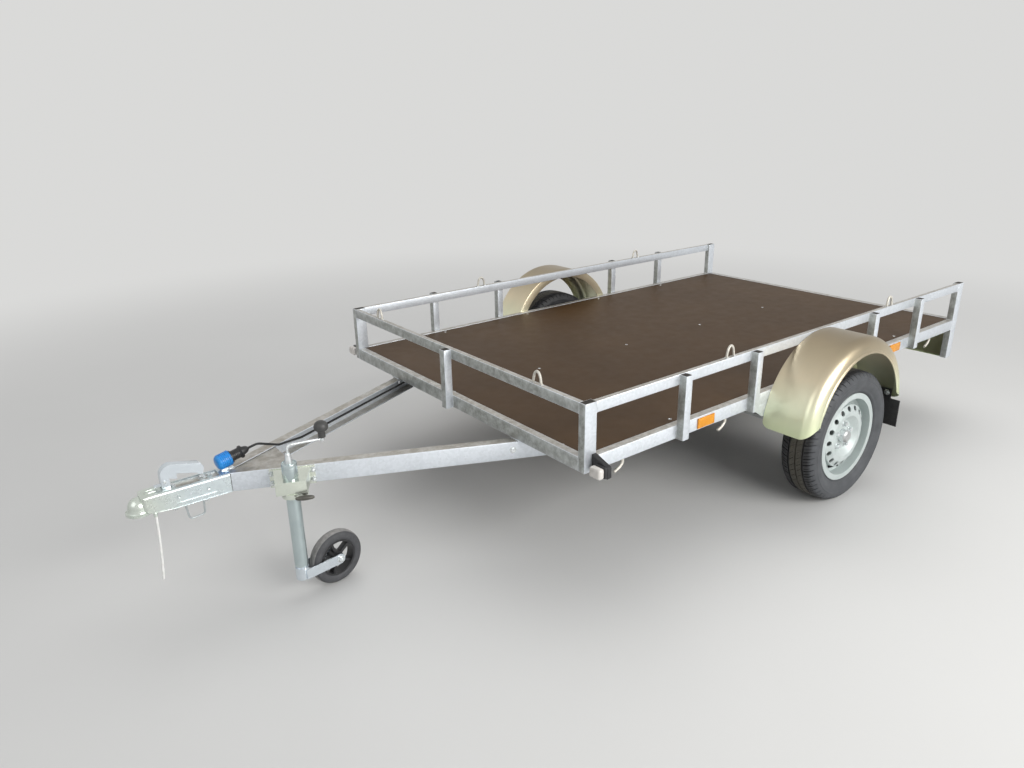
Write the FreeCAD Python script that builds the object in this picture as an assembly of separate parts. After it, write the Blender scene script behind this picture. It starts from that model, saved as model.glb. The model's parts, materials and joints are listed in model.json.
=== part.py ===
import FreeCAD, Part
import math
import os

# Flat-deck utility trailer with one axle, standing on its road wheels and jockey wheel.
# Units are millimetres. +X points to the coupling, +Y to the trailer's left, +Z up.
# All shapes are built about the middle of the deck at floor level, then moved along X so
# that the origin is on the floor below the middle of the whole length.

V = FreeCAD.Vector
X_AXIS = V(1, 0, 0)
Y_AXIS = V(0, 1, 0)
Z_AXIS = V(0, 0, 1)
LEFT = 1
RIGHT = -1

# Deck frame
FRAME_LENGTH = 2560.0
FRAME_WIDTH = 1560.0
DECK_HEIGHT = 503.0
BEAM_HEIGHT = 50.0
BEAM_WIDTH = 30.0
TUBE_WALL = 3.0
BOARD_THICKNESS = 15.0
BOARD_RECESS = 1.0
BOARD_GAP = 1.0
CROSS_MEMBER_WIDTH = 40.0
CROSS_MEMBER_COUNT = 6

# Posts and rails
RAIL_TOP_ABOVE_DECK = 186.0
RAIL_HEIGHT = 38.0
RAIL_WIDTH = 20.0
POST_SIZE = 32.0
CORNER_POST_LENGTH = 50.0
REAR_POST_DROP = 149.0
POST_PITCH = 398.0
GUARD_TO_FRONT_POST = 80.0
GUARD_TO_REAR_POST = 24.0
FRONT_POST_PLACE = 20.0

# Rope eyes and hooks
EYE_WIRE = 8.0
EYE_FOOT_LENGTH = 15.0
EYE_HEIGHT = 47.0
EYE_TOP_RADIUS = 10.0
EYE_FOOT_RADIUS = 7.0
EYE_LEAN = 15.0
SIDE_EYE_INSET = 717.0
FRONT_EYE_INSET = 243.0
HOOK_ROD = 9.0
HOOK_DROP = 20.0
HOOK_REACH = 40.0
HOOK_TIP_DROP = 47.0
HOOK_BEND = 12.0
FRONT_HOOK_INSET = 182.0
MIDDLE_HOOK_INSET = 720.0
REAR_HOOK_INSET = 250.0

# Lamps and reflectors
REFLECTOR_LENGTH = 90.0
REFLECTOR_HEIGHT = 38.0
REFLECTOR_THICKNESS = 6.0
REFLECTOR_TO_POST = 142.0
LAMP_ARM_THICKNESS = 20.0
LAMP_ARM_REACH = 72.0
LAMP_ARM_ROOT_HEIGHT = 64.0
LAMP_ARM_TIP_HEIGHT = 40.0
LAMP_ARM_DROP = 1.0
LAMP_LIFT = 4.0
FRONT_LAMP_WIDTH = 50.0
FRONT_LAMP_HEIGHT = 38.0
FRONT_LAMP_DEPTH = 34.0
FRONT_LAMP_ROUNDING = 6.0
REAR_PANEL_THICKNESS = 3.0
REAR_PANEL_FLANGE = 22.0
REAR_PANEL_SETBACK = 18.0
REAR_LAMP_WIDTH = 190.0
REAR_LAMP_HEIGHT = 96.0
REAR_LAMP_DEPTH = 42.0
REAR_LAMP_ROUNDING = 8.0
REAR_LAMP_INSET = 30.0

# Running gear
AXLE_PLACE = -10.0
TYRE_RADIUS = 273.0
TYRE_WIDTH = 155.0
TYRE_WALL = 9.0
TREAD_DEPTH = 15.0
TREAD_SHARE = 0.78
TREAD_ROUNDING = 5.0
TREAD_EDGE_DROP = 2.0
TREAD_SHOULDER_DROP = 10.0
TYRE_OVER_FLANGE = 1.0
BEAD_RADIUS = 166.0
RIM_FLANGE_RADIUS = 184.0
RIM_WIDTH = 122.0
RIM_DROP_RADIUS = 140.0
RIM_WALL = 4.0
RIM_WELL_BACK = 16.0
RIM_WELL_FRONT = 10.0
RIM_WELL_SLOPE = 10.0
RIM_WELL_INSIDE = 2.0
SEAT_GAP = 0.3
TYRE_CENTRE_BEYOND_FRAME = 112.0
DISC_OFFSET = 30.0
DISC_HOLES = 16
DISC_HOLE_RING = 118.0
DISC_HOLE_RADIUS = 10.5
DISC_BORE_GAP = 2.0
DISC_BOSS_RADIUS = 62.0
DISC_CROWN_INNER_RADIUS = 88.0
DISC_CROWN_OUTER_RADIUS = 106.0
DISC_CROWN_RISE = 22.0
DISC_EDGE_RADIUS = 132.0
DISC_EDGE_RISE = 10.0
DISC_SKIRT_DEPTH = 18.0
DISC_SKIRT_LAP = 8.0
DISC_WELD_LAP = 1.0
HUB_RADIUS = 72.0
HUB_LENGTH = 62.0
HUB_TAPER_DEPTH = 26.0
HUB_TAPER_STEP = 14.0
HUB_CAP_RADIUS = 26.0
HUB_CAP_LENGTH = 32.0
HUB_CAP_CHAMFER = 6.0
STUB_RADIUS = 20.0
STUB_BEYOND_DISC = 20.0
TURNING_CLEARANCE = 0.3
ARM_FORWARD = 145.0
ARM_THICKNESS = 20.0
ARM_WIDTH = 56.0
ARM_BAR_WIDTH = 48.0
ARM_GAP = 6.0
AXLE_TUBE = 60.0
AXLE_TUBE_WALL = 6.0
AXLE_RAIL_HEIGHT = 53.0
AXLE_RAIL_WIDTH = 50.0
AXLE_RAIL_FRONT_REACH = 285.0
AXLE_RAIL_REAR_REACH = 540.0
AXLE_RAIL_SLANT = 80.0
BRACKET_LENGTH = 120.0
BRACKET_HEIGHT = 35.0
BRACKET_FOOT = 6.0
BRACKET_INSET = 10.0

# Mudguards
GUARD_RADIUS = 348.0
GUARD_RISE = 70.0
GUARD_CUT_RISE = 15.0
GUARD_THICKNESS = 3.0
GUARD_WIDTH = 210.0
GUARD_SHOULDER = 48.0
GUARD_LIP = 10.0
GUARD_FLANGE = 42.0
GUARD_CORNER = 55.0
FLAP_THICKNESS = 5.0
FLAP_WIDTH = 180.0
FLAP_LENGTH = 160.0
FLAP_OVERLAP = 35.0
FLAP_SIDE_GAP = 8.0
FLAP_BELOW_GUARD = 6.0

# Drawbar
MEMBER_HEIGHT = 66.0
MEMBER_FLANGE = 40.0
MEMBER_WALL = 5.0
PAD_THICKNESS = 7.0
MEMBER_INSET_AT_FRAME = 315.0
MEMBER_RUN_UNDER_DECK = 400.0
DRAWBAR_LENGTH = 867.0
HEAD_HALF_WIDTH = 35.0
HEAD_PLATE_THICKNESS = 5.0
HEAD_PLATE_LENGTH = 197.0
TONGUE_LENGTH = 196.0

# Coupling, measured forward from the drawbar head and up from the members
COUPLING_WALL = 5.0
COUPLING_LENGTH = 276.0
COUPLING_CUP_RADIUS = 31.0
COUPLING_LIP_RADIUS = 40.0
COUPLING_LIP_HEIGHT = 8.0
COUPLING_RISE_START = 183.0
COUPLING_NOSE_LIFT = 10.0
COUPLING_NOSE_DIP = 7.0
COUPLING_STEP_BACK = 6.0
COUPLING_STEP_RADIUS = 12.0
COUPLING_SHOULDER_LENGTH = 30.0
COUPLING_EDGE_RADIUS = 9.0
BALL_SOCKET_RADIUS = 25.5
BALL_CENTRE_LIFT = 9.0
CUP_REAR_WALL = 9.0
RECESS_START = 30.0
RECESS_END_GAP = 10.0
RECESS_RIM = 10.0
LEVER_WIDTH = 28.0
LEVER_WALL = 3.0
LEVER_FOOT_GAP = 178.0
LEVER_FOOT_LENGTH = 25.0
LEVER_LENGTH = 132.0
LEVER_HEIGHT = 75.0
LEVER_END_DIP = 20.0
LEVER_BEND = 34.0
LEVER_GRIP_DEPTH = 30.0
LEVER_SLOT_CLEARANCE = 1.0
LATCH_REACH = 20.0
LATCH_WIDTH = 18.0
LATCH_LIFT = 10.0
BAIL_WIRE = 6.0
BAIL_GAP = 93.0
BAIL_LENGTH = 56.0
BAIL_DROP = 51.0
BAIL_BEND = 12.0
BAIL_FRONT_LEAN = 6.0
BAIL_REAR_LEAN = 2.0
BAIL_REAR_RISE = 4.0
# Corners of the lever's rear end: distance ahead of its end and below its top
LEVER_END_CORNERS = ((12, 0), (0, 14), (6, 40), (20, 36), (24, 30))
# Corners of the lever's throat: distance behind its foot and below the grip's underside
LEVER_THROAT_CORNERS = ((24, 4), (22, 22), (0, 14))

# Plug holder and lamp lead
HOLDER_RADIUS = 26.0
HOLDER_LENGTH = 48.0
HOLDER_WALL = 4.0
HOLDER_GAP = 5.0
HOLDER_SIDE = -10.0
HOLDER_LIFT = 30.0
HOLDER_TILT = 10.0
HOLDER_TURN = 6.0
HOLDER_STRIP_WIDTH = 20.0
HOLDER_STRIP_THICKNESS = 3.0
PLUG_RADIUS = 17.0
PLUG_LENGTH = 60.0
PLUG_COLLAR = 6.0
LEAD_RADIUS = 4.0
LEAD_BEND = 40.0
LEAD_INSET = 80.0
LEAD_STRAIGHT = 35.0
LEAD_SWING = 26.0
LEAD_OVER_PLATE = 16.0
LEAD_ENTRY_RUN = 130.0
LEAD_EXIT_RUN = 30.0
LEAD_LEVEL_RUN = 110.0
LEAD_RISE_RUN = 260.0
LEAD_DROP_RUN = 90.0
LEAD_PANEL_RUN = 50.0

# Jockey stand
JOCKEY_REACH = 84.0
JOCKEY_SETBACK = 140.0
JOCKEY_TURN = 8.0
JOCKEY_TUBE_RADIUS = 22.5
JOCKEY_TUBE_WALL = 2.5
JOCKEY_TUBE_LIFT = 54.0
JOCKEY_CAP = 5.0
MOVING_GAP = 6.0
COLLAR_RADIUS = 25.0
INNER_TUBE_CLEARANCE = 0.5
INNER_TUBE_HEADROOM = 30.0
JOCKEY_WHEEL_RADIUS = 97.0
JOCKEY_WHEEL_WIDTH = 44.0
JOCKEY_TYRE_TAPER = 4.0
JOCKEY_TRAIL = 130.0
FORK_PLATE = 4.0
FORK_HEIGHT = 36.0
FORK_GAP = 5.0
FORK_HEAD_LENGTH = 14.0
FORK_BOSS_REACH = 22.0
SPIGOT_LENGTH = 45.0
INNER_TUBE_WALL = 4.0
JOCKEY_RIM_RADIUS = 66.0
JOCKEY_RIM_WALL = 7.0
JOCKEY_HUB_RADIUS = 20.0
JOCKEY_SPOKE_INSET = 6.0
JOCKEY_SPOKE_THICKNESS = 10.0
JOCKEY_PIN = 7.5
JOCKEY_SPOKES = 5
CLAMP_LIFT = 20.0
CLAMP_HEIGHT = 44.0
CLAMP_LENGTH = 146.0
CLAMP_WALL = 6.0
CLAMP_ROOT = 61.0
CLAMP_FRONT = 48.0
SADDLE_LIFT = 4.0
SADDLE_RADIUS = 34.0
LUG_REACH = 50.0
LUG_HALF_WIDTH = 9.0
HANDLE_SIDE = 40.0
HANDLE_REACH = 44.0
HANDLE_SCREW_RADIUS = 5.0
HANDLE_BAR_RADIUS = 8.0
HANDLE_BAR_LENGTH = 60.0
CRANK_RISE = 60.0
SPINDLE_RADIUS = 11.0
SPINDLE_HEIGHT = 26.0
CRANK_TURN = 12.0
CRANK_REACH = 112.0
CRANK_ROD = 9.0
KNOB_RADIUS = 23.0
KNOB_NECK_RADIUS = 12.0
KNOB_HEIGHT = 57.0

# Safety cord
CORD_RADIUS = 4.0
CORD_GAP = 238.0
CORD_MIDDLE_HEIGHT = 269.0
CORD_END_HEIGHT = 152.0
CORD_MIDDLE_SHIFT = 1.0
CORD_END_SHIFT = 14.0
CORD_BEND_SHARE = 0.45

# Working margins
CUT_MARGIN = 1.0
EDGE_TOLERANCE = 0.1

# Worked-out places of the deck frame
HALF_LENGTH = FRAME_LENGTH / 2
HALF_WIDTH = FRAME_WIDTH / 2
INNER_HALF_WIDTH = HALF_WIDTH - BEAM_WIDTH
BEAM_BOTTOM = DECK_HEIGHT - BEAM_HEIGHT
RAIL_TOP = DECK_HEIGHT + RAIL_TOP_ABOVE_DECK
RAIL_BOTTOM = RAIL_TOP - RAIL_HEIGHT
CORNER_X = HALF_LENGTH - CORNER_POST_LENGTH
REAR_POST_BOTTOM = BEAM_BOTTOM - REAR_POST_DROP
BOARD_TOP = DECK_HEIGHT - BOARD_RECESS
BOARD_BOTTOM = BOARD_TOP - BOARD_THICKNESS
CROSS_MEMBER_PITCH = FRAME_LENGTH / (CROSS_MEMBER_COUNT + 1)
CROSS_MEMBER_PLACES = [-HALF_LENGTH + CROSS_MEMBER_PITCH * (step + 1) for step in range(CROSS_MEMBER_COUNT)]

# Worked-out places of the running gear and of what is lined up with the mudguards
WHEEL_HEIGHT = TYRE_RADIUS
HUB_BORE = STUB_RADIUS + TURNING_CLEARANCE
TYRE_CENTRE_Y = HALF_WIDTH + TYRE_CENTRE_BEYOND_FRAME
AXLE_X = AXLE_PLACE + ARM_FORWARD
AXLE_RAIL_BOTTOM = BEAM_BOTTOM - AXLE_RAIL_HEIGHT
AXLE_Z = AXLE_RAIL_BOTTOM - BRACKET_HEIGHT - AXLE_TUBE / 2
GUARD_CENTRE_HEIGHT = WHEEL_HEIGHT + GUARD_RISE
GUARD_CUT_HEIGHT = GUARD_CENTRE_HEIGHT + GUARD_CUT_RISE
FRONT_SIDE_POST = AXLE_PLACE + GUARD_RADIUS + GUARD_TO_FRONT_POST + POST_SIZE / 2
REAR_SIDE_POST = AXLE_PLACE - GUARD_RADIUS - GUARD_TO_REAR_POST - POST_SIZE / 2
SIDE_POST_PLACES = (FRONT_SIDE_POST + POST_PITCH, FRONT_SIDE_POST,
                    REAR_SIDE_POST, REAR_SIDE_POST - POST_PITCH)
REFLECTOR_PLACES = (FRONT_SIDE_POST + POST_PITCH - REFLECTOR_TO_POST,
                    REAR_SIDE_POST - POST_PITCH + REFLECTOR_TO_POST)

# Worked-out places of the drawbar and the coupling
MEMBER_TOP = BEAM_BOTTOM - PAD_THICKNESS
MEMBER_BOTTOM = MEMBER_TOP - MEMBER_HEIGHT
MEMBER_SPREAD_AT_FRAME = INNER_HALF_WIDTH - MEMBER_INSET_AT_FRAME
MEMBER_SLOPE = (MEMBER_SPREAD_AT_FRAME - HEAD_HALF_WIDTH) / DRAWBAR_LENGTH
MEMBER_ANGLE = math.atan(MEMBER_SLOPE)
MEMBER_REAR_END = HALF_LENGTH - MEMBER_RUN_UNDER_DECK
HOOK_PLACES = (HALF_LENGTH - FRONT_HOOK_INSET, HALF_LENGTH - MIDDLE_HOOK_INSET,
               REAR_HOOK_INSET - HALF_LENGTH)
HEAD_PLACE = HALF_LENGTH + DRAWBAR_LENGTH
HEAD_PLATE_REAR = HEAD_PLACE - HEAD_PLATE_LENGTH
TONGUE_FRONT = HEAD_PLACE + TONGUE_LENGTH
COUPLING_NOSE_PLACE = HEAD_PLACE + COUPLING_LENGTH
COUPLING_RISE_PLACE = HEAD_PLACE + COUPLING_RISE_START
COUPLING_NOSE_BOTTOM = MEMBER_BOTTOM + COUPLING_NOSE_LIFT
COUPLING_NOSE_TOP = MEMBER_TOP - COUPLING_NOSE_DIP
BALL_CENTRE_HEIGHT = COUPLING_NOSE_BOTTOM + BALL_CENTRE_LIFT
LEVER_FOOT_REAR = HEAD_PLACE + LEVER_FOOT_GAP
LEVER_FOOT_FRONT = LEVER_FOOT_REAR + LEVER_FOOT_LENGTH
LEVER_FOOT_HEIGHT = MEMBER_TOP - COUPLING_WALL
LEVER_TOP = MEMBER_TOP + LEVER_HEIGHT
LEVER_END = LEVER_FOOT_FRONT - LEVER_LENGTH
LEVER_END_TOP = LEVER_TOP - LEVER_END_DIP
BAIL_REAR = HEAD_PLACE + BAIL_GAP
BAIL_FRONT = BAIL_REAR + BAIL_LENGTH
HOLDER_PLACE = V(HEAD_PLACE + HOLDER_GAP, HOLDER_SIDE, MEMBER_TOP + HOLDER_LIFT)
CORD_PLACE = HEAD_PLACE + CORD_GAP

# Worked-out places of the jockey stand
JOCKEY_X = HEAD_PLACE - JOCKEY_SETBACK
JOCKEY_Y = (HEAD_HALF_WIDTH + MEMBER_SLOPE * JOCKEY_SETBACK
            + JOCKEY_REACH / math.cos(MEMBER_ANGLE))
JOCKEY_WHEEL_X = JOCKEY_X - JOCKEY_TRAIL
JOCKEY_TUBE_TOP = MEMBER_TOP + JOCKEY_TUBE_LIFT
FORK_BOSS_BOTTOM = JOCKEY_WHEEL_RADIUS - FORK_BOSS_REACH
FORK_BOSS_TOP = JOCKEY_WHEEL_RADIUS + FORK_BOSS_REACH
CLAMP_BOTTOM = MEMBER_BOTTOM + CLAMP_LIFT
SADDLE_BOTTOM = MEMBER_BOTTOM + SADDLE_LIFT
JOCKEY_TUBE_BOTTOM = FORK_BOSS_TOP + MOVING_GAP
INNER_TUBE_RADIUS = JOCKEY_TUBE_RADIUS - JOCKEY_TUBE_WALL - INNER_TUBE_CLEARANCE
INNER_TUBE_TOP = JOCKEY_TUBE_TOP - INNER_TUBE_HEADROOM
CRANK_HEIGHT = JOCKEY_TUBE_TOP + CRANK_RISE

# Origin
REAR_PANEL_BACK = -HALF_LENGTH + REAR_PANEL_SETBACK
REAR_END = REAR_PANEL_BACK - REAR_LAMP_DEPTH
FRONT_END = COUPLING_NOSE_PLACE + COUPLING_LIP_RADIUS
ORIGIN_X = (FRONT_END + REAR_END) / 2


# Building blocks

def box(x0, x1, y0, y1, z0, z1):
    return Part.makeBox(x1 - x0, y1 - y0, z1 - z0, V(x0, y0, z0))


def cylinder(radius, start, direction, length):
    return Part.makeCylinder(radius, length, start, direction)


def ring(outer, inner, start, direction, length):
    return cylinder(outer, start, direction, length).cut(cylinder(inner, start, direction, length))


def hollow_bar(x0, x1, y0, y1, z0, z1, wall, along):
    """A rectangular tube, open at both ends along the named axis."""
    outer = box(x0, x1, y0, y1, z0, z1)
    ends = {"x": (x0, x1, y0 + wall, y1 - wall, z0 + wall, z1 - wall),
            "y": (x0 + wall, x1 - wall, y0, y1, z0 + wall, z1 - wall),
            "z": (x0 + wall, x1 - wall, y0 + wall, y1 - wall, z0, z1)}
    return outer.cut(box(*ends[along]))


def prism(points, depth):
    """A closed outline of points, pushed along a depth vector."""
    outline = Part.makePolygon(list(points) + [points[0]])
    return Part.Face(outline).extrude(depth)


def turned(profile, centre, axis):
    """A closed profile of (radius, place along the axis) turned about the Y axis."""
    points = [V(centre.x + radius, centre.y + place, centre.z) for radius, place in profile]
    outline = Part.makePolygon(points + [points[0]])
    return Part.Face(outline).revolve(centre, axis, 360)


def bent_path(points, radii):
    """Straight runs through the points, joined by tangent arcs with one radius for each corner."""
    edges = []
    start = points[0]
    for before, corner, after, radius in zip(points, points[1:], points[2:], radii):
        back = (before - corner).normalize()
        ahead = (after - corner).normalize()
        half_turn = (math.pi - back.getAngle(ahead)) / 2
        trim = radius * math.tan(half_turn)
        arc_start = corner + back * trim
        arc_end = corner + ahead * trim
        middle_way = (back + ahead).normalize()
        arc_middle = corner + middle_way * (radius / math.cos(half_turn) - radius)
        edges.append(Part.LineSegment(start, arc_start).toShape())
        edges.append(Part.Arc(arc_start, arc_middle, arc_end).toShape())
        start = arc_end
    edges.append(Part.LineSegment(start, points[-1]).toShape())
    return Part.Wire(edges)


def swept(path, points, diameter):
    """A round section swept along a path that starts through the first two points."""
    direction = (points[1] - points[0]).normalize()
    end = Part.Wire(Part.makeCircle(diameter / 2, points[0], direction))
    return path.makePipe(Part.Face(end))


def rod(points, diameter, radius):
    """A round rod bent to one radius at every corner."""
    return swept(bent_path(points, [radius] * (len(points) - 2)), points, diameter)


def mirrored(shape):
    return shape.mirror(V(0, 0, 0), Y_AXIS)


def on_side(shape, side):
    return shape if side == LEFT else mirrored(shape)


def both_sides(shape):
    return [shape, mirrored(shape)]


def save(node, shapes):
    """Writes one node, moved so that the origin is below the middle of the whole length."""
    shape = Part.makeCompound(shapes) if len(shapes) > 1 else shapes[0]
    shape = shape.copy()
    shape.translate(V(-ORIGIN_X, 0, 0))
    shape.exportStep("parts/" + node + ".step")


# Deck frame

def side_beam():
    return hollow_bar(-CORNER_X, CORNER_X, INNER_HALF_WIDTH, HALF_WIDTH,
                      BEAM_BOTTOM, DECK_HEIGHT, TUBE_WALL, "x")


def end_beam(outer_x, inner_x):
    x0, x1 = sorted((outer_x, inner_x))
    return hollow_bar(x0, x1, -INNER_HALF_WIDTH, INNER_HALF_WIDTH,
                      BEAM_BOTTOM, DECK_HEIGHT, TUBE_WALL, "y")


def cross_members():
    half = CROSS_MEMBER_WIDTH / 2
    return [hollow_bar(x - half, x + half, -INNER_HALF_WIDTH, INNER_HALF_WIDTH,
                       BEAM_BOTTOM, BOARD_BOTTOM, TUBE_WALL, "y") for x in CROSS_MEMBER_PLACES]


def deck_board():
    half_length = HALF_LENGTH - BEAM_WIDTH - BOARD_GAP
    half_width = INNER_HALF_WIDTH - BOARD_GAP
    board = box(-half_length, half_length, -half_width, half_width, BOARD_BOTTOM, BOARD_TOP)
    corner_length = CORNER_POST_LENGTH - BEAM_WIDTH + BOARD_GAP
    for x_end in (-1, 1):
        x0, x1 = sorted((x_end * CORNER_X - x_end * BOARD_GAP, x_end * (CORNER_X + corner_length)))
        for y_end in (-1, 1):
            y0, y1 = sorted((y_end * (INNER_HALF_WIDTH - BOARD_GAP), y_end * HALF_WIDTH))
            board = board.cut(box(x0, x1, y0, y1, BOARD_BOTTOM, BOARD_TOP))
    return board


def corner_post(x0, x1, bottom):
    """A corner tube with its top closed by a cap as thick as its wall."""
    outer = box(x0, x1, INNER_HALF_WIDTH, HALF_WIDTH, bottom, RAIL_TOP)
    inner = box(x0 + TUBE_WALL, x1 - TUBE_WALL, INNER_HALF_WIDTH + TUBE_WALL,
                HALF_WIDTH - TUBE_WALL, bottom, RAIL_TOP - TUBE_WALL)
    return outer.cut(inner)


def side_posts():
    half = POST_SIZE / 2
    return [hollow_bar(x - half, x + half, HALF_WIDTH, HALF_WIDTH + POST_SIZE,
                       BEAM_BOTTOM, RAIL_TOP, TUBE_WALL, "z") for x in SIDE_POST_PLACES]


def front_post():
    half = POST_SIZE / 2
    return hollow_bar(HALF_LENGTH, HALF_LENGTH + POST_SIZE, FRONT_POST_PLACE - half,
                      FRONT_POST_PLACE + half, BEAM_BOTTOM, RAIL_TOP, TUBE_WALL, "z")


def side_rail():
    return hollow_bar(-CORNER_X, CORNER_X, HALF_WIDTH - RAIL_WIDTH, HALF_WIDTH,
                      RAIL_BOTTOM, RAIL_TOP, TUBE_WALL, "x")


def front_rail():
    return hollow_bar(HALF_LENGTH - RAIL_WIDTH, HALF_LENGTH, -INNER_HALF_WIDTH, INNER_HALF_WIDTH,
                      RAIL_BOTTOM, RAIL_TOP, TUBE_WALL, "y")


# Rope eyes and hooks

def rope_eye(middle, along):
    """A wire loop standing on a rail: spread feet, leaning legs and a round top."""
    lean = math.radians(EYE_LEAN)
    foot_height = EYE_WIRE / 2
    top_height = EYE_HEIGHT - EYE_WIRE / 2
    peak = top_height - EYE_TOP_RADIUS + EYE_TOP_RADIUS / math.sin(lean)
    knee = (peak - foot_height) * math.tan(lean)
    foot = knee + EYE_FOOT_LENGTH

    def at(side, height):
        return middle + along * side + Z_AXIS * height

    corners = [at(-foot, foot_height), at(-knee, foot_height), at(0, peak),
               at(knee, foot_height), at(foot, foot_height)]
    path = bent_path(corners, [EYE_FOOT_RADIUS, EYE_TOP_RADIUS, EYE_FOOT_RADIUS])
    return swept(path, corners, EYE_WIRE)


def rope_eyes_on_side():
    y = HALF_WIDTH - RAIL_WIDTH / 2
    place = HALF_LENGTH - SIDE_EYE_INSET
    return [rope_eye(V(x, y, RAIL_TOP), X_AXIS) for x in (place, -place)]


def rope_eyes_in_front():
    x = HALF_LENGTH - RAIL_WIDTH / 2
    place = HALF_WIDTH - FRONT_EYE_INSET
    return [rope_eye(V(x, y, RAIL_TOP), Y_AXIS) for y in (place, -place)]


def rope_hooks():
    """Rods welded under the side beams, bent forward and down."""
    y = HALF_WIDTH - BEAM_WIDTH / 2
    hooks = []
    for x in HOOK_PLACES:
        points = [V(x, y, BEAM_BOTTOM), V(x, y, BEAM_BOTTOM - HOOK_DROP),
                  V(x + HOOK_REACH, y, BEAM_BOTTOM - HOOK_TIP_DROP)]
        hooks.append(rod(points, HOOK_ROD, HOOK_BEND))
    return hooks


# Lamps and reflectors

def side_reflectors():
    half = REFLECTOR_LENGTH / 2
    middle = DECK_HEIGHT - BEAM_HEIGHT / 2
    return [box(x - half, x + half, HALF_WIDTH, HALF_WIDTH + REFLECTOR_THICKNESS,
                middle - REFLECTOR_HEIGHT / 2, middle + REFLECTOR_HEIGHT / 2) for x in REFLECTOR_PLACES]


def front_lamp_arm():
    """A rubber arm on the corner post's side, sloping outward and down."""
    root = HALF_WIDTH
    tip = HALF_WIDTH + LAMP_ARM_REACH
    bottom = BEAM_BOTTOM - LAMP_ARM_DROP
    outline = [V(CORNER_X, root, bottom),
               V(CORNER_X, tip, bottom),
               V(CORNER_X, tip, bottom + LAMP_ARM_TIP_HEIGHT),
               V(CORNER_X, root, bottom + LAMP_ARM_ROOT_HEIGHT)]
    return prism(outline, X_AXIS * LAMP_ARM_THICKNESS)


def front_lamp():
    tip = HALF_WIDTH + LAMP_ARM_REACH
    x0 = CORNER_X + LAMP_ARM_THICKNESS
    z0 = BEAM_BOTTOM - LAMP_ARM_DROP + LAMP_LIFT
    lamp = box(x0, x0 + FRONT_LAMP_DEPTH, tip - FRONT_LAMP_WIDTH, tip, z0, z0 + FRONT_LAMP_HEIGHT)
    front_edges = [edge for edge in lamp.Edges
                   if edge.BoundBox.XMin > x0 + FRONT_LAMP_DEPTH - EDGE_TOLERANCE]
    return lamp.makeFillet(FRONT_LAMP_ROUNDING, front_edges)


def rear_lamp_panel():
    """A folded sheet between the rear posts, with its ends and lower edge bent forward."""
    back = REAR_PANEL_BACK
    front = back + REAR_PANEL_THICKNESS
    fold = back + REAR_PANEL_FLANGE
    half = INNER_HALF_WIDTH
    panel = box(back, front, -half, half, REAR_POST_BOTTOM, BEAM_BOTTOM)
    lower = box(back, fold, -half, half, REAR_POST_BOTTOM, REAR_POST_BOTTOM + REAR_PANEL_THICKNESS)
    end = box(back, fold, half - REAR_PANEL_THICKNESS, half, REAR_POST_BOTTOM, BEAM_BOTTOM)
    return panel.fuse([lower, end, mirrored(end)]).removeSplitter()


def rear_lamp():
    middle = (REAR_POST_BOTTOM + BEAM_BOTTOM) / 2
    outer = INNER_HALF_WIDTH - REAR_LAMP_INSET
    lamp = box(REAR_PANEL_BACK - REAR_LAMP_DEPTH, REAR_PANEL_BACK, outer - REAR_LAMP_WIDTH, outer,
               middle - REAR_LAMP_HEIGHT / 2, middle + REAR_LAMP_HEIGHT / 2)
    rear_edges = [edge for edge in lamp.Edges if edge.BoundBox.XMax < REAR_END + EDGE_TOLERANCE]
    return lamp.makeFillet(REAR_LAMP_ROUNDING, rear_edges)


# Running gear

def wheel_centre():
    return V(AXLE_PLACE, TYRE_CENTRE_Y, WHEEL_HEIGHT)


def tyre():
    """A tyre section with bulged walls and a slightly domed tread, open towards the rim."""
    half = TYRE_WIDTH / 2
    bead_half = RIM_WIDTH / 2 - RIM_WALL - SEAT_GAP
    tread_half = half * TREAD_SHARE
    side_radius = (TYRE_RADIUS + RIM_FLANGE_RADIUS) / 2
    outside = [(BEAD_RADIUS, bead_half),
               (RIM_FLANGE_RADIUS + TYRE_OVER_FLANGE, bead_half),
               (side_radius, half),
               (TYRE_RADIUS - TREAD_SHOULDER_DROP, tread_half + TREAD_ROUNDING),
               (TYRE_RADIUS - TREAD_EDGE_DROP, tread_half - TREAD_ROUNDING)]
    lining = [(BEAD_RADIUS, bead_half - TYRE_WALL),
              (side_radius, half - TYRE_WALL),
              (TYRE_RADIUS - TREAD_DEPTH, tread_half - TREAD_ROUNDING)]
    outline = outside + [(TYRE_RADIUS, 0)] + other_half(outside)
    outline += [(radius, -place) for radius, place in lining] + lining[::-1]
    return turned(outline, wheel_centre(), Y_AXIS)


def other_half(profile):
    """The same profile on the other side of its middle, run the other way."""
    return [(radius, -place) for radius, place in reversed(profile)]


def rim_barrel():
    """The drop-centre barrel between the two flanges."""
    half = RIM_WIDTH / 2
    wall = RIM_WALL
    seat = BEAD_RADIUS - SEAT_GAP
    flange = RIM_FLANGE_RADIUS
    well = RIM_DROP_RADIUS
    front_edge = RIM_WELL_FRONT + RIM_WELL_SLOPE
    back_edge = RIM_WELL_BACK + RIM_WELL_SLOPE
    outside = [(flange, -half), (flange, wall - half), (seat, wall - half), (seat, -back_edge),
               (well, -RIM_WELL_BACK), (well, RIM_WELL_FRONT), (seat, front_edge),
               (seat, half - wall), (flange, half - wall), (flange, half)]
    inside = [(seat - wall, half), (seat - wall, front_edge - RIM_WELL_INSIDE),
              (well - wall, RIM_WELL_FRONT - RIM_WELL_INSIDE), (well - wall, RIM_WELL_INSIDE - RIM_WELL_BACK),
              (seat - wall, RIM_WELL_INSIDE - back_edge), (seat - wall, -half)]
    return turned(outside + inside, wheel_centre(), Y_AXIS)


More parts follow.
